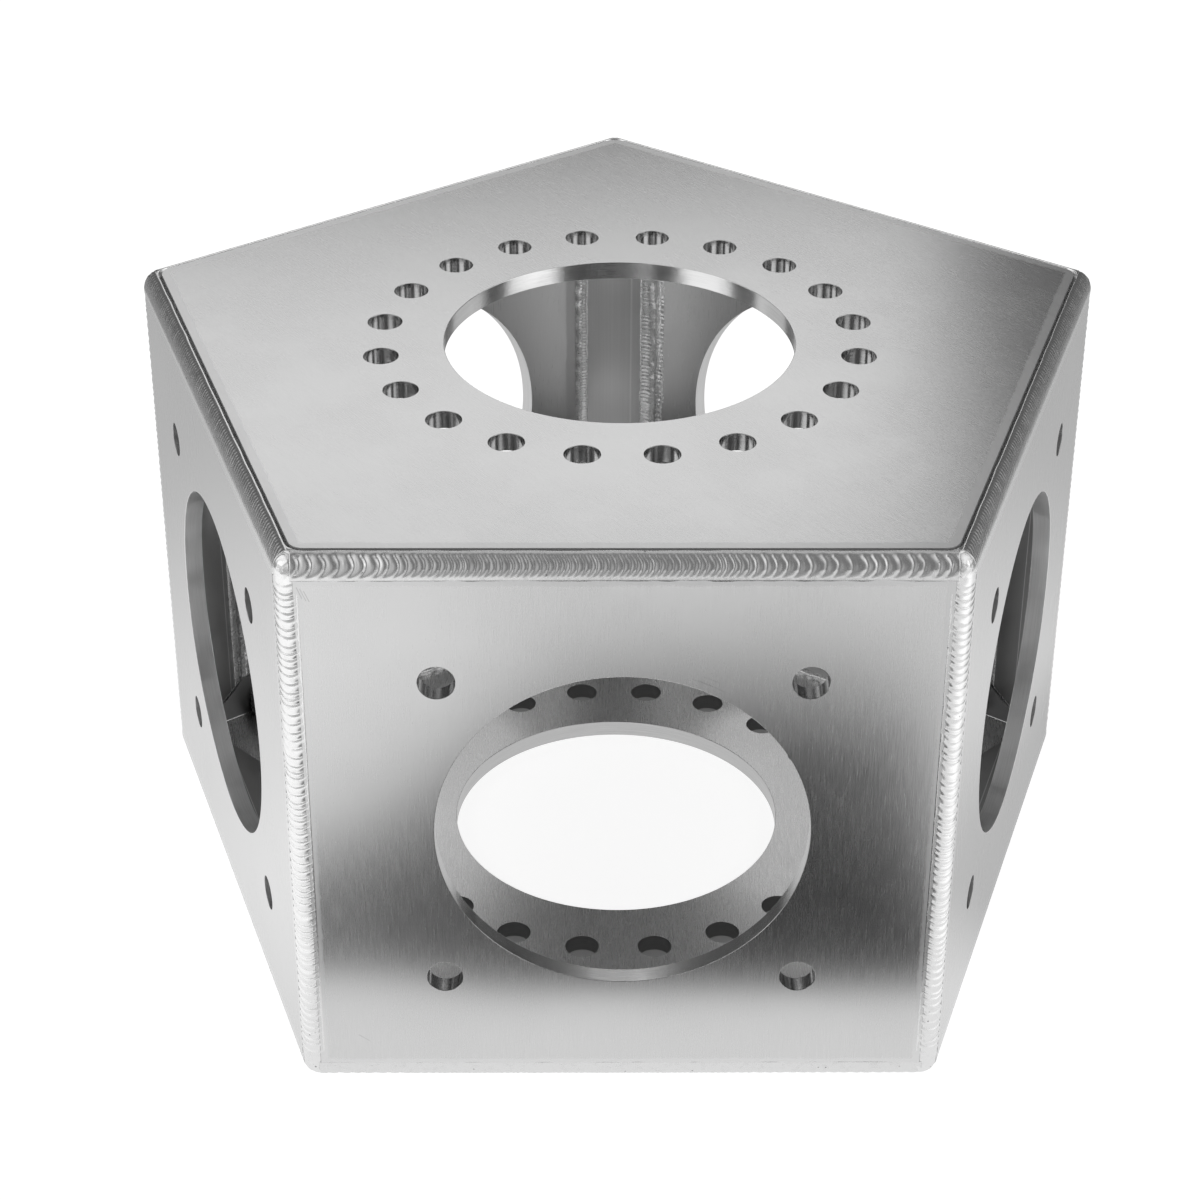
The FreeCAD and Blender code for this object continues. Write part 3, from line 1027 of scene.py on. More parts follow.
def round_corners(outline: Sequence[Vector], radius: float, steps: int = 8) -> list[Vector]:
    """Replace each corner of a polygon by an arc that touches both sides.

    Args:
        outline: the corners, anticlockwise.
        radius: the arc's radius.
        steps: points on each arc.

    Returns:
        The new outline.
    """
    rounded = []
    count = len(outline)
    for index in range(count):
        corner = outline[index]
        back = (outline[index - 1] - corner).normalized()
        ahead = (outline[(index + 1) % count] - corner).normalized()
        half = back.angle(ahead) / 2
        centre = corner + (back + ahead).normalized() * (radius / math.sin(half))
        start = corner + back * (radius / math.tan(half)) - centre
        turn = math.pi - 2 * half
        for step in range(steps + 1):
            rounded.append(centre + Matrix.Rotation(turn * step / steps, 3, "Z") @ start)
    return rounded


# The inner faces with painted shade that darkens them towards one end, and that end.
PAINTED_SHADE_ENDS = {Side.RIGHT_REAR: -1, Side.LEFT_REAR: 1}

# The scored lines of the front plate: one cluster at each of four places.
FRONT_SCRATCHES = (
    Scratch((-0.1470, 0.1370), (-0.1448, 0.1312)),
    Scratch((-0.1455, 0.1362), (-0.1430, 0.1300)),
    Scratch((-0.1438, 0.1350), (-0.1416, 0.1296)),
    Scratch((0.0310, 0.0880), (0.0405, 0.0838), 0.25 * MM),
    Scratch((0.0340, 0.0872), (0.0465, 0.0808), 0.25 * MM),
    Scratch((0.0365, 0.0892), (0.0440, 0.0856), 0.25 * MM),
    Scratch((0.1235, 0.0230), (0.1262, 0.0160), 0.25 * MM),
    Scratch((-0.1292, -0.1225), (-0.1240, -0.1262), 0.25 * MM),
)


@dataclass
class Plates:
    """The two end plates and five side plates.

    Their outer faces lie a hair under the welds, which lap over them.
    """

    sizes: BlockSizes
    groups: EffectGroups
    lap: float = 0.15 * MM
    seam_gap: float = -0.5 * MM
    side_gap: float = 0.4 * MM
    corner_round: float = 8.0 * MM

    def build(self) -> None:
        """Make all seven plates."""
        size = self.sizes
        bored = MachinedFinish("bored_wall").build()
        # Painted reflection: the rear of the top bore's wall is darkened round one spot.
        top_bore_wall_painted_reflection = MachinedFinish("bored_wall_of_top", dull_spot=(-3 * MM, size.bore_wide / 2)).build()
        # Painted shade: the bolt-hole walls are toned darker than the bores, darkest in the top and front plates.
        drilled = MachinedFinish("drilled_wall", tone=0.50, roughness=0.12).build()
        reamed = MachinedFinish("reamed_wall", tone=0.62, roughness=0.34).build()
        coarse = MachinedFinish("coarse_bored_wall", tone=0.92, roughness=0.34).build()
        # Painted shade: the plates' sawn rims, which line the trough beside each weld, are toned dark.
        rim = MachinedFinish("sawn_rim", tone=0.40, roughness=0.45).build()
        end_inside = PlateFinish("mill_face_of_ends", seed=51.0, tone=0.78, roughness=0.27).build(self.groups)
        self.end_plate(End.TOP, (top_bore_wall_painted_reflection, end_inside, drilled, rim))
        self.end_plate(End.BOTTOM, (bored, end_inside, reamed, rim))
        for side in Side:
            # Painted shade: the side plates' inner faces are toned darker than their outer faces, and the 34 mm band
            # beside their welded edges is darker still, as painted shade in the inside corners.
            inside = PlateFinish(
                f"mill_face_of_{side.label}", seed=57.0 + side.value, tone=0.54, roughness=0.30,
                edges=((1.0, 0.0), (-1.0, 0.0)), edge_reach=(size.inner_side / 2,) * 2, band=34 * MM,
                band_tone=0.86, dim_end=PAINTED_SHADE_ENDS.get(side, 0)).build(self.groups)
            walls = (bored, inside, drilled, rim) if side is Side.FRONT else (coarse, inside, reamed, rim)
            self.side_plate(side, walls)

    def end_plate(self, end: End, others: Sequence[bpy.types.Material]) -> None:
        """Make one end plate.

        Args:
            end: which end.
            others: materials of the bored wall, the inner face, the drilled walls and the rim.
        """
        size = self.sizes
        corners = [corner.outward * size.inner_radius for corner in Corner]
        outline = round_corners(shrink(corners, self.seam_gap), self.corner_round)
        plate = self.bored(size.end_holes, 90 + 180 / size.end_holes)
        finish = PlateFinish(
            f"brushed_{end.label}_plate", seed=3.0 + end.value, grain_turn=math.radians(-37), tone=0.80,
            edges=tuple((side.outward.x, side.outward.y) for side in Side),
            edge_reach=(size.inner_apothem,) * len(Side), band=3.4 * MM)
        turn = Matrix.Identity(4) if end is End.TOP else Matrix.Rotation(math.pi, 4, "Y")
        middle = size.thick / 2 + self.lap / 2
        level = middle if end is End.BOTTOM else size.tall - middle
        add_piece(f"{end.label}_plate", plate.mesh(outline), Matrix.Translation(UP * level) @ turn, "end_plate",
                  finish.build(self.groups), *others)

    def side_plate(self, side: Side, others: Sequence[bpy.types.Material]) -> None:
        """Make one side plate.

        Args:
            side: which side.
            others: materials of the bored wall, the inner face, the drilled walls and the rim.
        """
        size = self.sizes
        wide = size.inner_side / 2 - self.side_gap
        high = size.tall / 2 - size.thick - self.side_gap
        outline = [Vector((x * wide, y * high, 0.0)) for x, y in ((-1, -1), (1, -1), (1, 1), (-1, 1))]
        plate = self.bored(size.side_holes, 45)
        scratches = FRONT_SCRATCHES if side is Side.FRONT else ()
        finish = PlateFinish(
            f"brushed_{side.label}_plate", seed=20.0 + side.value * 2.7, tone=0.78,
            edges=((1.0, 0.0), (-1.0, 0.0), (0.0, 1.0), (0.0, -1.0)),
            edge_reach=(size.inner_side / 2, size.inner_side / 2, high, high), scratches=scratches,
            scratch_level=size.thick / 2)
        origin = side.outward * (size.inner_apothem + size.thick / 2 - self.lap / 2) + UP * size.tall / 2
        place = placing(origin, UP.cross(side.outward), UP, side.outward)
        add_piece(f"{side.label}_plate", plate.mesh(outline), place, "side_plate",
                  finish.build(self.groups), *others)

    def bored(self, holes: int, first_hole: float) -> BoredPlate:
        """A plate with its bore and bolt holes, as all seven have them.

        Args:
            holes: number of bolt holes.
            first_hole: compass angle of the first one.

        Returns:
            The plate.
        """
        size = self.sizes
        return BoredPlate(size.thick - self.lap, size.bore_wide, size.bolt_circle, size.bolt_hole, holes, first_hole)


@dataclass(frozen=True)
class RippleStyle:
    """How the frozen ripples of a weld run look.

    A bulge above zero sets the middle of each crest forward, and a skew sets one toe ahead of the other. The
    lean is 1 where the steep side of a ripple faces forward, and -1 where it faces back. The ripples tighten by
    a share along the middle of the run, and start bolder by a share.
    """

    pitch: float
    depth: float
    bulge: float
    lean: int = 1
    skew: float = 0.0
    tighten: float = 0.0
    jitter: float = 0.2
    crest: float = 0.62
    uneven: float = 0.5
    bold_start: float = 0.0
    fine_pitch: float = 1.9 * MM
    fine_depth: float = 0.08 * MM
    lumps: float = 0.12 * MM
    sway: float = 0.35 * MM
    seed: int = 1


class RippleTrack:
    """The ripples along one run, at uneven steps."""

    def __init__(self, style: RippleStyle, length: float) -> None:
        """Lay out the ripples.

        Args:
            style: how they look.
            length: length of the run.
        """
        self.style = style
        dice = random.Random(style.seed)
        self.offset = Vector((style.seed * 7.3, style.seed * 3.1, 0.0))
        self.starts: list[float] = []
        self.depths: list[float] = []
        self.crests: list[float] = []
        margin = 5 * style.pitch + abs(style.skew) + abs(style.bulge)
        place = -margin
        while place < length + margin:
            share = place / length
            closer = 1 - style.tighten * smoothstep(0.08, 0.22, share) * smoothstep(0.76, 0.62, share)
            self.starts.append(place)
            bold = 1 + style.bold_start * smoothstep(0.22, 0.05, share)
            self.depths.append(style.depth * closer ** 0.7 * bold * dice.uniform(1 - style.uneven, 1.0))
            self.crests.append(style.crest + dice.uniform(-0.14, 0.12))
            place += style.pitch * closer * dice.uniform(1 - style.jitter, 1 + style.jitter)

    def lead(self, along: float, across: float) -> float:
        """Distance along the run, counted from the crest line through that place.

        Args:
            along: distance along the run.
            across: place across the run, -1 at one toe and 1 at the other.

        Returns:
            The distance, bent as the crests are.
        """
        style = self.style
        sway = style.sway * noise.noise(self.offset + Vector((across * 1.6, 9.0, along / (4 * MM))))
        return along - style.bulge * (1 - across * across) + style.skew * across + sway

    def drop(self, along: float, across: float) -> float:
        """How far the skin lies below its highest level.

        Args:
            along: distance along the run.
            across: place across the run, -1 at one toe and 1 at the other.

        Returns:
            The drop.
        """
        style = self.style
        lead = self.lead(along, across)
        index = max(0, min(len(self.starts) - 2, bisect_right(self.starts, lead) - 1))
        share = (lead - self.starts[index]) / (self.starts[index + 1] - self.starts[index])
        if style.lean < 0:
            share = 1 - share
        crest = self.crests[index]
        if share < crest:
            ridge = math.sin(math.pi / 2 * max(0.0, share) / crest)
        else:
            ridge = math.cos(math.pi / 2 * min(1.0, (share - crest) / (1 - crest)))
        fade = 0.6 + 0.8 * noise.noise(self.offset + Vector((across, 3.0, along / (7 * MM))))
        fine = (0.5 - 0.5 * math.cos(2 * math.pi * lead / style.fine_pitch)) * max(0.0, fade)
        lump = 0.5 + 0.5 * noise.noise(self.offset + Vector((across * 1.2, 0.0, along / (6 * MM))))
        return self.depths[index] * (1 - ridge) + style.fine_depth * fine + style.lumps * lump

    def wander(self, along: float, lane: float, pitch: float) -> float:
        """Slow seeded wander along the run, between -1 and 1.

        Args:
            along: distance along the run.
            lane: picks one of several independent wanders.
            pitch: length over which it changes.

        Returns:
            The wander.
        """
        return noise.noise(self.offset + Vector((lane * 11.0, 5.0, along / pitch)))


class BeadKind(Enum):
    """How a level bead was run."""

    BROAD = RippleStyle(pitch=5.6 * MM, depth=0.52 * MM, bulge=2.6 * MM, skew=-0.5 * MM, tighten=0.5, uneven=0.35,
                        bold_start=0.6, fine_pitch=1.7 * MM, fine_depth=0.05 * MM, lumps=0.06 * MM, seed=3)
    CLOSE_LEFT = RippleStyle(pitch=2.7 * MM, depth=0.30 * MM, bulge=1.2 * MM, skew=2.6 * MM, jitter=0.1, crest=0.6,
                             uneven=0.4, fine_depth=0.0, lumps=0.04 * MM, sway=0.08 * MM, seed=5)
    CLOSE_RIGHT = replace(CLOSE_LEFT, depth=0.24 * MM, bulge=-1.2 * MM, lean=-1, skew=-2.4 * MM, seed=8)


LEVEL_BEADS = {
    Side.FRONT: BeadKind.BROAD,
    Side.RIGHT_FRONT: BeadKind.CLOSE_RIGHT,
    Side.RIGHT_REAR: BeadKind.BROAD,
    Side.LEFT_REAR: BeadKind.BROAD,
    Side.LEFT_FRONT: BeadKind.CLOSE_LEFT,
}


@dataclass
class OutsideBeads:
    """The beads that fill the open groove along every outside edge and lap over the plates beside it.

    Angles are in degrees. Every bead has a smooth margin at both sides of its ripples, and a trough lies between
    it and the end plate. A level bead runs over both ends of its seam, by the overrun in all. The sections are a
    step apart, and further apart where little shows. Past its toes a section tucks into the plate. The trough's
    wall and the cap's section are lists of reaches and falls. The pool is the blob at the end of an upright bead.
    """

    sizes: BlockSizes
    groups: EffectGroups
    step: float = 0.42 * MM
    close_step: float = 0.34 * MM
    far_step: float = 0.6 * MM
    low_step: float = 0.8 * MM
    toe_angle: float = 16.5
    rim: float = 2.2 * MM
    corner_round: float = 8.6 * MM
    margin: float = 12.0
    top_margin: float = 17.0
    overrun: float = 1.2 * MM
    toe_fall: float = 0.12 * MM
    sink: float = 1.5 * MM
    tuck: float = 6.0
    level_columns: int = 20
    corner_columns: int = 34
    seam_half: float = 90.0 - HALF_CORNER
    ripple_reach: float = 45.0
    calm_fall: float = 0.3 * MM
    notch: float = 0.18 * MM
    pool_across: float = 50.0
    pool_low: float = 20.0
    pool_high: float = 62.0
    pool_rows: int = 22
    pool_columns: int = 48
    cap_half: float = 40.0
    cap_steps: int = 20
    trough_wall: tuple[tuple[float, float], ...] = ((0.12 * MM, 0.08 * MM), (0.2 * MM, 0.4 * MM), (0.3 * MM, 1.0 * MM))
    cap_section: tuple[tuple[float, float], ...] = (
        (-2.4 * MM, 1.5 * MM), (-0.5 * MM, 0.8 * MM), (-0.3 * MM, 0.35 * MM), (-0.15 * MM, 0.06 * MM),
        (0.1 * MM, 0.0), (1.2 * MM, 0.02 * MM), (2.6 * MM, 0.2 * MM), (3.6 * MM, 0.8 * MM), (3.6 * MM, 3 * MM),
        (-2.4 * MM, 3 * MM))

    def build(self) -> None:
        """Make the ten level beads and the five upright ones."""
        for end in End:
            for side in Side:
                self.level_bead(end, side)
        for corner in Corner:
            self.corner_bead(corner)

    def finish(self, seed: float, tone: float = 0.86) -> bpy.types.Material:
        """The material of one bead."""
        return WeldFinish(f"weld_bead_{int(seed)}", seed, tone=tone).build(self.groups)

    def level_bead(self, end: End, side: Side) -> None:
        """Make the bead along one level edge.

        Args:
            end: which end of the block.
            side: which side.
        """
        size = self.sizes
        seed = 10 + side.value * 2 + (1 if end is End.TOP else 0)
        kind = LEVEL_BEADS[side]
        style = replace(kind.value, seed=kind.value.seed + 40 * (1 if end is End.BOTTOM else 0) + side.value)
        length = size.inner_side + self.overrun
        track = RippleTrack(style, length)
        broad = self.step if side is Side.FRONT else self.far_step
        upper = broad if kind is BeadKind.BROAD else self.close_step
        step = self.low_step if end is End.BOTTOM else upper
        pile = MeshPile()
        pile.sweep([self.level_ring(track, along, length) for along in stations(length, step)])
        upward = UP * end.value
        origin = side.outward * size.inner_apothem + UP * (size.thick if end is End.BOTTOM else size.tall - size.thick)
        place = placing(origin, side.outward, upward, UP.cross(side.outward))
        add_piece(f"{end.label}_bead_{side.label}", pile.mesh(place), Matrix.Identity(4), "outside_weld",
                  self.finish(seed))

    def level_ring(self, track: RippleTrack, along: float, length: float) -> list[Vector]:
        """Section of a level bead: a round from its toe on the side plate up to the rim of the trough.

        Args:
            track: its ripples.
            along: distance along the bead.
            length: length of the bead.

        Returns:
            The points of the section.
        """
        thick = self.sizes.thick
        level = along - length / 2
        rim = self.rim + 0.3 * MM * track.wander(along, 2, 14 * MM)
        low = -self.toe_angle
        high = math.degrees(math.acos(rim / thick))
        bottom = low + self.margin + 1.5 * track.wander(along, 1, 7 * MM)
        top = high - self.top_margin + 2.0 * track.wander(along, 3, 3 * MM)
        ring = []
        for column in range(self.level_columns + 1):
            angle = low + (high - low) * column / self.level_columns
            across = 2 * (angle - bottom) / (top - bottom) - 1
            middle = smoothstep(bottom - 3, bottom + 13, angle) * (1 - smoothstep(top - 1, top + 6, angle))
            even = 0.04 * MM * (1 + track.wander(along, 4, 9 * MM))
            fall = even + track.drop(along, max(-1.0, min(1.0, across))) * middle
            turn = math.radians(angle)
            if angle < 0:
                ring.append(Vector((thick - fall - self.toe_fall * angle / low, thick * math.sin(turn), level)))
            else:
                ring.append(Vector(((thick - fall) * math.cos(turn), (thick - fall) * math.sin(turn), level)))
        top_level = ring[-1].y
        for inward, fall in self.trough_wall:
            ring.append(Vector((rim - inward, top_level - fall, level)))
        ring.append(Vector((-2 * MM, thick - self.sink - 0.2 * MM, level)))
        ring.append(Vector((0.0, 0.0, level)))
        for angle, fall in ((low - self.tuck, self.sink), (low - self.tuck / 3, 0.35 * MM)):
            ring.append(Vector((thick - fall, thick * math.sin(math.radians(angle)), level)))
        return ring

    def corner_bead(self, corner: Corner) -> None:
        """Make the bead up one corner, rounded over at both ends.

        Args:
            corner: which corner.
        """
        size = self.sizes
        seed = 40 + corner.value * 3
        style = RippleStyle(pitch=4.2 * MM, depth=0.54 * MM, bulge=-2.8 * MM, skew=0.6 * MM, jitter=0.28,
                            crest=0.66, uneven=0.35, fine_depth=0.02 * MM, lumps=0.1 * MM, seed=seed)
        straight = size.tall - 2 * size.thick
        bend = size.thick * math.pi / 2
        length = straight + 2 * bend
        track = RippleTrack(style, length)
        near = corner in (Corner.FRONT_LEFT, Corner.FRONT_RIGHT)
        step = self.step if near else self.far_step
        pile = MeshPile()
        pile.sweep([self.corner_ring(track, along, bend, straight) for along in stations(length, step)])
        for end in End:
            self.corner_cap(pile, end)
            self.corner_pool(pile, end, track)
        place = placing(corner.outward * size.inner_radius, corner.outward, UP.cross(corner.outward), UP)
        add_piece(f"corner_bead_{corner.label}", pile.mesh(place), Matrix.Identity(4), "outside_weld",
                  self.finish(seed, 0.92))

    def corner_ring(self, track: RippleTrack, along: float, bend: float, straight: float) -> list[Vector]:
        """Section of an upright bead, which rounds over to a point at each end.

        Args:
            track: its ripples.
            along: distance along the bead's back, from the bottom end.
            bend: length of the round part at each end.
            straight: length of the upright part.

        Returns:
            The points of the section.
        """
        thick = self.sizes.thick
        if along < bend:
            tilt = along / thick - math.pi / 2
            level = thick
        elif along > bend + straight:
            tilt = (along - bend - straight) / thick
            level = thick + straight
        else:
            tilt = 0.0
            level = thick + along - bend
        flat = math.cos(tilt)
        edge = self.seam_half + self.toe_angle
        past_end = min(along, 2 * bend + straight - along) - bend
        calm = max(smoothstep(0.0, 0.7, abs(tilt)), 0.8 - 0.8 * smoothstep(2 * MM, 11 * MM, past_end))
        points = [(-edge - self.tuck, self.sink), (-edge - self.tuck / 3, 0.2 * MM)]
        for column in range(self.corner_columns + 1):
            angle = edge * (2 * column / self.corner_columns - 1)
            limit = self.ripple_reach + 2.5 * track.wander(along, 3 if angle < 0 else 4, 6 * MM)
            across = max(-1.0, min(1.0, angle / limit))
            middle = 1 - smoothstep(limit - (11 if angle < 0 else 6), limit + 3, abs(angle))
            fall = track.drop(along, across) * middle * (1 - calm) + self.calm_fall * calm
            ragged = 0.4 + 0.6 * smoothstep(-0.3, 0.3, track.wander(along, 8, 3 * MM)) if angle < 0 else 0.3
            fall += self.notch * ragged * max(0.0, 1 - abs(abs(angle) - limit) / 3.0) * (1 - calm)
            points.append((angle, fall + 0.03 * MM))
        points += [(edge + self.tuck / 3, 0.2 * MM), (edge + self.tuck, self.sink)]
        ring = []
        for degrees, fall in points:
            reach = thick - fall
            past = abs(degrees) - self.seam_half
            if past > 0:
                hand = math.copysign(1.0, degrees)
                out = heading(self.seam_half * hand) * (reach - self.toe_fall * past / self.toe_angle)
                out += heading((self.seam_half + 90.0) * hand) * (thick * math.sin(math.radians(past)))
            else:
                out = heading(degrees) * reach
            ring.append(out * flat + UP * (level + reach * math.sin(tilt)))
        ring.append(UP * level)
        return ring

    def corner_cap(self, pile: MeshPile, end: End) -> None:
        """Add the smooth metal where three beads meet, whose inner rim runs round the end plate's corner.

        Args:
            pile: the skins so far.
            end: which end of the block.
        """
        size = self.sizes
        away = (self.corner_round - self.rim) / math.sin(math.radians(HALF_CORNER))
        rings = []
        for step in range(-self.cap_steps, self.cap_steps + 1):
            spot = heading(self.cap_half * step / self.cap_steps)
            ring = []
            for further, fall in self.cap_section:
                flat = spot * (self.corner_round + further) + Vector((-away, 0.0, 0.0))
                height = size.tall / 2 - size.thick + self.rise(flat) - 0.04 * MM - fall
                ring.append(flat + UP * (size.tall / 2 + end.value * height))
            rings.append(ring)
        pile.sweep(rings)

    def rise(self, flat: Vector) -> float:
        """Height of the rounded edge above the seam's level.

        Args:
            flat: place in plan, from the corner where two seams meet.

        Returns:
            The height.
        """
        past = max(flat.dot(heading(hand * self.seam_half)) for hand in (-1, 1))
        beyond = min(flat.dot(heading(hand * (90.0 - self.seam_half))) for hand in (-1, 1)) > 0
        gap = flat.length if beyond else max(0.0, past)
        return math.sqrt(max(0.0, self.sizes.thick ** 2 - gap ** 2))

    def corner_pool(self, pile: MeshPile, end: End, track: RippleTrack) -> None:
        """Add the uneven blob of the last weld metal over the ends of three beads.

        Args:
            pile: the skins so far.
            end: which end of the block.
            track: the upright bead's ripples, for their seeded wander.
        """
        size = self.sizes
        seat = UP * (size.thick if end is End.BOTTOM else size.tall - size.thick)
        rings = []
        for row in range(self.pool_rows + 1):
            share = row / self.pool_rows
            ring = []
            for column in range(self.pool_columns):
                turn = 2 * math.pi * column / self.pool_columns
                wobble = 1.0 + 0.16 * track.wander(0.004 * math.cos(turn) + 0.02 * end.value,
                                                   7 + math.sin(turn), 5 * MM)
                across = self.pool_across * share * wobble * math.cos(turn)
                upward = math.radians(self.pool_low + self.pool_high * share * wobble * math.sin(turn))
                spot = (heading(across) * math.cos(upward) + UP * (end.value * math.sin(upward))).normalized()
                lump = noise.noise(track.offset + spot * 3.1) + 0.7 * noise.noise(track.offset + spot * 7.0)
                fall = 0.05 * MM + 0.22 * MM * (1 + lump) * smoothstep(1.0, 0.7, share)
                fall += 0.8 * MM * smoothstep(0.60, 1.0, share)
                ring.append(seat + spot * (size.thick - fall))
            rings.append(ring)
        pile.sweep(rings)


@dataclass(frozen=True)
class BarSeat:
    """How one bar sits across an inside corner.

    The back and the front are how far from the corner its two faces lie. The step is the spacing of the sections
    of its welds.
    """

    half_angle: float
    length: float
    back: float
    front: float
    step: float

    @property
    def slope(self) -> float:
        """Widening of the corner for each unit of depth."""
        return math.tan(self.half_angle)


@dataclass
class InsideBars:
    """Backing bars across the inside seams, and the welds that hold them.

    The rear bar's welds show through the top bore, so their sections are closer together. The wall pass is the
    low rough run on the wall beside an upright bar: its distance from the corner, half its width and its height.
    """

    sizes: BlockSizes
    groups: EffectGroups
    near_step: float = 0.5 * MM
    far_step: float = 0.85 * MM
    crown: float = 0.8 * MM
    bar_edge: float = 0.5 * MM
    lip_inset: float = 0.25 * MM
    wall_pass: tuple[float, float, float] = (34.0 * MM, 3.2 * MM, 0.9 * MM)

    def build(self) -> None:
        """Make the upright and level bars with their welds, and dress the corner fillets."""
        size = self.sizes
        # Painted shade: every bar but the rear one, and its welds, get darker copies of the rear bar's finishes.
        bright = (BarFinish().build(self.groups),
                  WeldFinish("inside_weld", 71.0, tone=0.95, roughness=0.27).build(self.groups))
        painted_shade_finishes = (BarFinish("dull_bar", tone=0.40).build(self.groups),
                WeldFinish("dull_inside_weld", 77.0, tone=0.60, roughness=0.27).build(self.groups))
        upright = size.tall - 2 * size.thick - 2 * size.corner_bar_gap
        for corner in Corner:
            inward = -corner.outward
            place = placing(corner.outward * size.inner_radius + UP * size.tall / 2,
                            inward.cross(UP), inward, UP)
            self.bar_and_weld("corner_bar", corner.label, math.radians(HALF_CORNER), upright, place,
                              *(bright if corner is Corner.REAR else painted_shade_finishes), 90 + corner.value * 5)
        level = size.inner_side - 2 * size.seam_bar_gap
        for end in End:
            for side in Side:
                upward = UP * -end.value
                along = UP.cross(side.outward)
                opening = (upward - side.outward).normalized()
                height = size.thick if end is End.BOTTOM else size.tall - size.thick
                place = placing(side.outward * size.inner_apothem + UP * height,
                                opening.cross(along), opening, along)
                self.bar_and_weld(f"{end.label}_bar", side.label, math.radians(45), level, place, *painted_shade_finishes,
                                  120 + side.value * 7 + end.value)
        # Painted shade: the fillets in the inside corners take a dark tone.
        fillet = WeldFinish("inside_corner_weld", 83.0, tone=0.52, roughness=0.26, lumps=1.6 * MM).build(self.groups)
        for end in End:
            self.dress_fillets(f"{end.label}_corner_fillets", fillet)

    def bar_and_weld(self, kind: str, label: str, half_angle: float, length: float, place: Matrix,
                     bar: bpy.types.Material, weld: bpy.types.Material, seed: int) -> None:
        """Make one bar and the four runs that hold it.

        Args:
            kind: start of the node's name.
            label: the corner or side that it backs.
            half_angle: half the angle between the two walls.
            length: length of the bar.
            place: where the inside corner's own frame goes.
            bar: the bar's material.
            weld: the welds' material.
            seed: picks the ripples.
        """
        size = self.sizes
        back = size.bar_wide / 2 / math.tan(half_angle)
        seen = (kind, label) == ("corner_bar", Corner.REAR.label)
        seat = BarSeat(half_angle, length, back, back + size.bar_thick, self.near_step if seen else self.far_step)
        add_piece(f"{kind}_{label}", self.bar_mesh(seat), place, "backing_bar", bar)
        pile = MeshPile()
        for hand in (-1, 1):
            self.edge_run(pile, seat, hand, seed + hand)
            self.end_run(pile, seat, hand, seed + 2 + hand)
        if kind == "corner_bar":
            self.wall_run(pile, seat, seed + 4)
        add_piece(f"{kind}_weld_{label}", pile.mesh(place), Matrix.Identity(4), "inside_weld", weld)

    def bar_mesh(self, seat: BarSeat) -> bpy.types.Mesh:
        """Flat bar with eased edges.

        Args:
            seat: how the bar sits.

        Returns:
            The mesh.
        """
        size = self.sizes
        work = bmesh.new()
        bmesh.ops.create_cube(work, size=1.0)
        bmesh.ops.scale(work, vec=(size.bar_wide, size.bar_thick, seat.length), verts=work.verts)
        bmesh.ops.translate(work, vec=(0.0, seat.back + size.bar_thick / 2, 0.0), verts=work.verts)
        bmesh.ops.bevel(work, geom=list(work.edges), offset=self.bar_edge, segments=3, profile=0.5, affect="EDGES")
        for face in work.faces:
            face.smooth = True
        mesh = bpy.data.meshes.new("bar")
        work.to_mesh(mesh)
        work.free()
        mesh.set_sharp_from_angle(angle=math.radians(35))
        return mesh

    def edge_run(self, pile: MeshPile, seat: BarSeat, hand: int, seed: int) -> None:
        """Add the bead along one edge of a bar, from the bar's face down to the wall.

        Args:
            pile: the skins so far.
            seat: how the bar sits.
            hand: 1 for the right edge, -1 for the rougher left one.
            seed: picks the ripples.
        """
        half = self.sizes.bar_wide / 2
        slope, front = seat.slope, seat.front
        rough = hand < 0
        toe_inset = (0.2 if rough else 1.8) * MM
        style = RippleStyle(pitch=(2.4 if rough else 1.9) * MM, depth=0.24 * MM, bulge=1.6 * MM, skew=1.6 * MM,
                            jitter=0.2, fine_depth=0.02 * MM, lumps=(0.2 if rough else 0.1) * MM, seed=seed)
        track = RippleTrack(style, seat.length)
        columns = 10
        rings = []
        for along in stations(seat.length, seat.step):
            level = along - seat.length / 2
            lip = half - self.lip_inset + 0.5 * MM * track.wander(along, 1, 7 * MM)
            toe = front * slope - toe_inset + 0.6 * MM * track.wander(along, 2, 6 * MM)
            ring = [Vector((hand * half, seat.back, level)),
                    Vector((hand * (lip - 0.2 * MM), front - 0.5 * MM, level))]
            for column in range(columns + 1):
                share = column / columns
                fade = math.sin(math.pi * share)
                base = front + (toe / slope - front) * share ** 1.6
                fall = track.drop(along, 2 * share - 1) * (0.2 + 0.8 * fade)
                rise = self.crown * fade + 0.15 * MM - fall
                ring.append(Vector((hand * (lip + (toe - lip) * share), base + rise, level)))
            ring.append(Vector((hand * (toe + 0.5 * MM), toe / slope - 0.4 * MM, level)))
            rings.append(ring)
        pile.sweep(rings)

    def wall_run(self, pile: MeshPile, seat: BarSeat, seed: int) -> None:
        """Add the low rough pass on the left wall beside an upright bar's bead.

        Args:
            pile: the skins so far.
            seat: how the bar sits.
            seed: picks the ripples.
        """
        style = RippleStyle(pitch=3.2 * MM, depth=0.3 * MM, bulge=0.8 * MM, lumps=0.7 * MM, jitter=0.4, seed=seed)
        track = RippleTrack(style, seat.length)
        wall = Vector((-math.sin(seat.half_angle), math.cos(seat.half_angle), 0.0))
        off = Vector((math.cos(seat.half_angle), math.sin(seat.half_angle), 0.0))
        away, half_wide, high = self.wall_pass
        columns = 8
        rings = []
        for along in stations(seat.length, seat.step):
            level = UP * (along - seat.length / 2)
            middle = away + 0.7 * MM * track.wander(along, 1, 9 * MM)
            half = half_wide + 0.9 * MM * track.wander(along, 2, 5 * MM)
            ring = []
            for column in range(columns + 1):
                across = 2 * column / columns - 1
                rise = high * (1 - across * across) - track.drop(along, across) * (1 - across ** 4) - 0.05 * MM
                ring.append(wall * (middle + across * half) + off * rise + level)
            ring.append(wall * middle - off * 1.5 * MM + level)
            rings.append(ring)
        pile.sweep(rings)

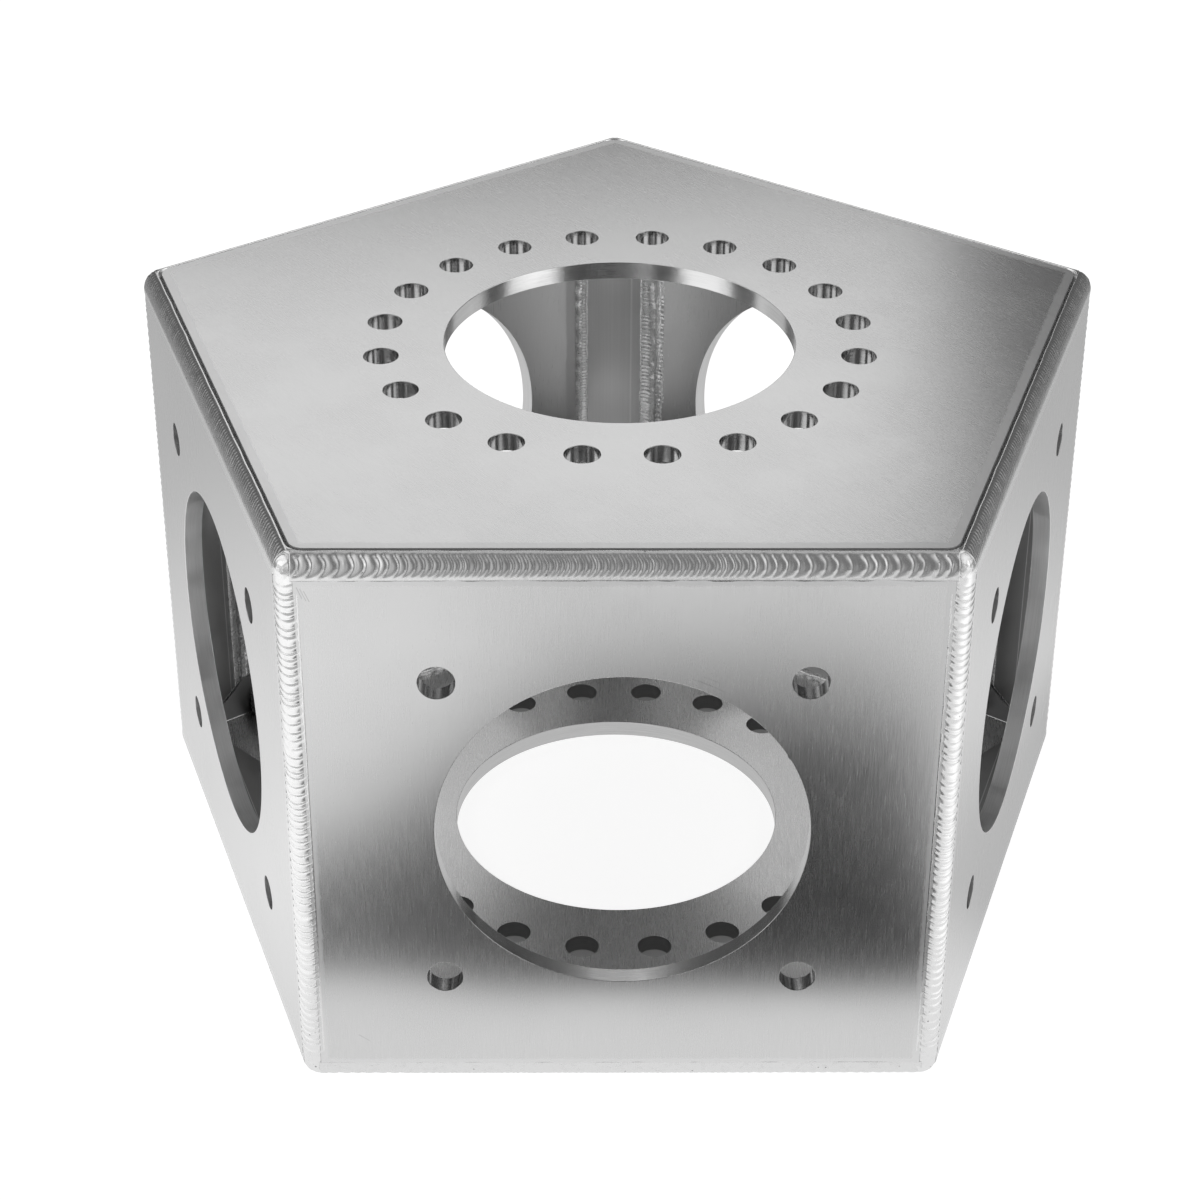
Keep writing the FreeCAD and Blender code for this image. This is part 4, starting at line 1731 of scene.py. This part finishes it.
    def end_run(self, pile: MeshPile, seat: BarSeat, hand: int, seed: int) -> None:
        """Add the weld that closes the hollow behind one end of a bar.

        Args:
            pile: the skins so far.
            seat: how the bar sits.
            hand: 1 for the high end, -1 for the low end.
            seed: picks the ripples.
        """
        slope, front = seat.slope, seat.front
        style = RippleStyle(pitch=3.4 * MM, depth=0.45 * MM, bulge=1.5 * MM, lumps=0.3 * MM, seed=seed)
        track = RippleTrack(style, 2 * front * slope)
        rows, columns = 16, 44
        rings = []
        for row in range(rows + 1):
            share = row / rows
            level = hand * (seat.length / 2 + self.sizes.bar_end_weld * share)
            height = front * (1 - 0.5 * share ** 1.7)
            ring = [Vector((0.0, 0.15 * height, level))]
            for column in range(columns + 1):
                across = 2 * column / columns - 1
                x = across * (height * slope + 0.3 * MM)
                fall = track.drop(x + front * slope, 2 * share - 1) * (1 - 0.7 * abs(across) ** 4)
                ring.append(Vector((x, height - fall, level)))
            rings.append(ring)
        pile.sweep(rings)

    def dress_fillets(self, node: str, weld: bpy.types.Material) -> None:
        """Give the fillets in the three-way corners the weld's material.

        Args:
            node: the node that holds them.
            weld: the material.
        """
        solid = bpy.data.objects[node]
        solid.data.materials.clear()
        solid.data.materials.append(weld)
        log.info("%s: dressed", node)


# Studio


@dataclass(frozen=True)
class CameraPlace:
    """The photograph's viewpoint, from a fit of the picture's points.

    The angles are in radians, and the lens and the film's width are in millimetres.
    """

    position: tuple[float, float, float] = (-0.0197, -1.3487, 0.9910)
    azimuth: float = -0.00762
    elevation: float = 0.55821
    roll: float = 0.00389
    lens: float = 89.36
    film: float = 36.0

    def build(self) -> None:
        """Make the camera and hand it to the scene."""
        data = bpy.data.cameras.new("camera")
        data.lens = self.lens
        data.sensor_width = self.film
        data.clip_start = 0.05
        data.clip_end = 60.0
        camera = bpy.data.objects.new("camera", data)
        bpy.context.scene.collection.objects.link(camera)
        back = Vector((math.sin(self.azimuth) * math.cos(self.elevation),
                       -math.cos(self.azimuth) * math.cos(self.elevation), math.sin(self.elevation)))
        level = Vector((math.cos(self.azimuth), math.sin(self.azimuth), 0.0))
        upright = back.cross(level)
        across = level * math.cos(self.roll) + upright * math.sin(self.roll)
        upward = upright * math.cos(self.roll) - level * math.sin(self.roll)
        camera.matrix_world = placing(Vector(self.position), across, upward, back)
        bpy.context.scene.camera = camera


@dataclass(frozen=True)
class Glow:
    """A soft bright patch of the surroundings, in degrees.

    The azimuth and the elevation are those of its middle. It is full within the inner angle from there, and ends
    at the outer one.
    """

    azimuth: float
    elevation: float
    inner: float
    outer: float
    strength: float

    @property
    def direction(self) -> Vector:
        """Unit vector towards the middle of the patch."""
        rise = math.radians(self.elevation)
        return heading(self.azimuth) * math.cos(rise) + UP * math.sin(rise)


@dataclass(frozen=True)
class FloorPatch:
    """A soft-edged patch of the floor.

    Each edge is where the patch starts and where it is full, in metres. The level is what the mask gives there.
    """

    across: tuple[tuple[float, float], ...] = ()
    depth: tuple[tuple[float, float], ...] = ()
    level: float = 1.0

    def mask(self, wire: Wiring, across: Any, depth: Any) -> bpy.types.NodeSocket:
        """Wire up the patch.

        Args:
            wire: wiring of the floor's material.
            across: socket of the place from left to right.
            depth: socket of the place from front to back.

        Returns:
            Socket of the mask.
        """
        return wire.product(*(wire.span(across, *edge) for edge in self.across),
                            *(wire.span(depth, *edge) for edge in self.depth), self.level)


@dataclass(frozen=True)
class SoftLamp:
    """A soft rectangular lamp that faces a point. The level is the brightness of its face."""

    name: str
    place: tuple[float, float, float]
    aim: tuple[float, float, float]
    size: tuple[float, float]
    level: float

    def build(self) -> None:
        """Make the lamp."""
        wide, high = self.size
        data = bpy.data.lights.new(self.name, "AREA")
        data.shape = "RECTANGLE"
        data.size, data.size_y = wide, high
        data.energy = self.level * math.pi * wide * high
        lamp = bpy.data.objects.new(self.name, data)
        bpy.context.scene.collection.objects.link(lamp)
        lamp.location = self.place
        lamp.rotation_mode = "QUATERNION"
        lamp.rotation_quaternion = (Vector(self.aim) - Vector(self.place)).to_track_quat("-Z", "Y")


@dataclass(frozen=True)
class Studio:
    """Pale floor, soft surroundings and a lamp.

    The metal sees a floor of its own, graded from dim to pale. The floor carries painted shade where the bottom plate
    stands on it, between its bore and its rim. Far from the block the metal sees the room instead.
    """

    ambient: float = 0.09
    glows: tuple[Glow, ...] = (
        Glow(-90.0, 48.0, 25.0, 85.0, 0.07),
        Glow(90.0, 66.0, 8.0, 22.0, 0.40),
        Glow(190.0, 0.0, 10.0, 50.0, 0.26),
        Glow(-132.0, 12.0, 12.0, 40.0, 0.38),
        Glow(-38.0, 14.0, 12.0, 34.0, 0.40),
        Glow(-16.0, 5.0, 12.0, 30.0, 0.44),
        Glow(-5.0, 39.0, 16.0, 45.0, 0.78),
        Glow(185.0, 39.0, 16.0, 45.0, 0.80),
    )
    back_lamp: SoftLamp = SoftLamp("back_lamp", (-0.145, 1.05, 0.98), (-0.04, 0.0, 0.25), (0.97, 0.50), 0.83)
    floor_half: float = 6.0
    floor_drop: float = 0.3 * MM
    floor_white: float = 0.84
    floor_shade: float = 0.42
    # Painted shade on the floor under the bottom plate: where it starts and where it is full, and its level.
    covered: tuple[tuple[float, float], ...] = ((0.090, 0.098), (0.19, 0.16))
    cover: float = 0.92
    beside_left: FloorPatch = FloorPatch(((-0.14, -0.32),), ((0.06, -0.12),), 0.20)
    beside_right: FloorPatch = FloorPatch(((0.24, 0.36),), ((-0.50, -0.40), (-0.06, -0.20)), 0.34)
    dim_near_right: FloorPatch = FloorPatch(((0.14, 0.19), (0.315, 0.27)), ((-0.16, -0.06), (0.24, 0.14)), 0.32)
    dim_far_right: FloorPatch = FloorPatch(((0.15, 0.30),), ((-0.36, -0.50),), 0.18)
    behind_camera: FloorPatch = FloorPatch(((0.5, 0.2),), ((-0.74, -0.98),))
    room_level: float = 0.22
    room_cover: float = 0.9

    def build(self) -> None:
        """Make the floor, the surroundings and the lamp."""
        scene = bpy.context.scene
        scene.view_settings.view_transform = "Standard"
        self.surroundings(scene)
        self.floor()
        self.back_lamp.build()

    def surroundings(self, scene: bpy.types.Scene) -> None:
        """Make the world: white to the camera, soft patches of light to the metal.

        Args:
            scene: the scene that it belongs to.
        """
        world = bpy.data.worlds.new("surroundings")
        scene.world = world
        world.use_nodes = True
        wire = Wiring(world.node_tree)
        background = world.node_tree.nodes["Background"]
        background.inputs["Color"].default_value = grey(1.0)
        toward = wire.add("ShaderNodeTexCoord").outputs["Generated"]
        level: Any = self.ambient
        for glow in self.glows:
            facing = wire.along(toward, glow.direction)
            patch = wire.span(facing, math.cos(math.radians(glow.outer)), math.cos(math.radians(glow.inner)),
                              0.0, glow.strength)
            level = wire.number("ADD", level, patch)
        seen = wire.add("ShaderNodeLightPath").outputs["Is Camera Ray"]
        wire.feed(background.inputs["Strength"], wire.blend_numbers(seen, level, 1.0))

    def floor(self) -> None:
        """Make the floor: white with a soft shadow to the camera, graded to the metal."""
        work = bmesh.new()
        bmesh.ops.create_grid(work, x_segments=8, y_segments=8, size=self.floor_half)
        mesh = bpy.data.meshes.new("floor")
        work.to_mesh(mesh)
        work.free()
        floor = bpy.data.objects.new("floor", mesh)
        bpy.context.scene.collection.objects.link(floor)
        floor.location.z = -self.floor_drop
        material = bpy.data.materials.new("pale_floor")
        material.use_nodes = True
        wire = Wiring(material.node_tree)
        tree = material.node_tree
        tree.nodes.remove(tree.nodes["Principled BSDF"])
        matt = wire.add("ShaderNodeBsdfDiffuse")
        matt.inputs["Color"].default_value = grey(self.floor_shade)
        white = wire.add("ShaderNodeEmission")
        outside_painted_shade = wire.number("SUBTRACT", 1.0, self.under_block(wire))
        wire.feed(white.inputs["Strength"], wire.product(self.floor_white, outside_painted_shade))
        shown = wire.add("ShaderNodeAddShader")
        wire.feed(shown.inputs[0], matt.outputs["BSDF"])
        wire.feed(shown.inputs[1], white.outputs["Emission"])
        graded = wire.add("ShaderNodeEmission")
        wire.feed(graded.inputs["Strength"], wire.product(self.floor_grade(wire), outside_painted_shade))
        glossy = wire.add("ShaderNodeLightPath").outputs["Is Glossy Ray"]
        chosen = wire.add("ShaderNodeMixShader")
        wire.feed(chosen.inputs["Fac"], glossy)
        wire.feed(chosen.inputs[1], shown.outputs["Shader"])
        wire.feed(chosen.inputs[2], graded.outputs["Emission"])
        wire.feed(tree.nodes["Material Output"].inputs["Surface"], chosen.outputs["Shader"])
        mesh.materials.append(material)

    def under_block(self, wire: Wiring) -> bpy.types.NodeSocket:
        """Mask of the painted shade on the floor that the bottom plate covers.

        Args:
            wire: wiring of the floor's material.

        Returns:
            Socket of the mask.
        """
        place = wire.add("ShaderNodeTexCoord").outputs["Object"]
        reach = wire.vector("LENGTH", place, gives="Value")
        return wire.product(*(wire.span(reach, *edge) for edge in self.covered), self.cover)

    def floor_grade(self, wire: Wiring) -> bpy.types.NodeSocket:
        """Brightness of the floor as the metal sees it: pale, with a dim patch in front of the block.

        Args:
            wire: wiring of the floor's material.

        Returns:
            Socket of the brightness.
        """
        place = wire.add("ShaderNodeTexCoord").outputs["Object"]
        axes = wire.add("ShaderNodeSeparateXYZ")
        wire.feed(axes.inputs["Vector"], place)
        across, depth = axes.outputs["X"], axes.outputs["Y"]
        reach = wire.vector("LENGTH", place, gives="Value")

        pale = wire.span(depth, -0.44, -0.60, 0.80, 0.92)
        for brighter in (self.beside_left, self.beside_right):
            pale = wire.number("ADD", pale, brighter.mask(wire, across, depth))
        pale = wire.number("ADD", pale, wire.span(across, -0.14, -0.32, 0.0, 0.02))
        pale = wire.product(pale, wire.span(depth, 0.05, 0.42, 1.0, 0.64))
        for darker in (self.dim_near_right, self.dim_far_right):
            pale = wire.dimmed(pale, darker.mask(wire, across, depth))
        pale = wire.dimmed(pale, self.dim_patch(wire, across, depth))
        # Painted shade: the floor under the bottom plate is dimmer to the metal too.
        open_floor = wire.dimmed(pale, wire.span(reach, 0.16, 0.11, 0.0, 0.30))
        aside = wire.product(wire.span(reach, 0.80, 1.05), wire.span(depth, -0.45, -0.15))
        room = wire.number("MAXIMUM", self.behind_camera.mask(wire, across, depth), aside)
        return wire.blend_numbers(wire.product(room, self.room_cover), open_floor, self.room_level)

    def dim_patch(self, wire: Wiring, across: Any, depth: Any) -> bpy.types.NodeSocket:
        """Mask of the dim patch that the front plate mirrors, slanting away to the left.

        Args:
            wire: wiring of the floor's material.
            across: socket of the place from left to right.
            depth: socket of the place from front to back.

        Returns:
            Socket of the mask.
        """
        near_edge = wire.number("ADD", depth, wire.span(across, -0.05, -0.15, 0.0, 0.014))
        past_far_edge = wire.number("SUBTRACT", depth, wire.span(across, -0.17, 0.0, -0.37, -0.555))
        return wire.product(wire.span(near_edge, -0.276, -0.300), wire.span(past_far_edge, -0.08, 0.0),
                            wire.span(across, -0.20, -0.17), wire.span(across, 0.20, 0.165),
                            wire.span(across, -0.16, 0.04, 0.88, 0.97))


def main() -> None:
    """Load the solids, dress them and set up the studio."""
    logging.basicConfig(level=logging.INFO, format="%(message)s")
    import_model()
    sizes = BlockSizes()
    groups = EffectGroups()
    CameraPlace().build()
    Studio().build()
    Plates(sizes, groups).build()
    OutsideBeads(sizes, groups).build()
    InsideBars(sizes, groups).build()
    bpy.context.view_layer.update()


if __name__ == "__main__":
    main()
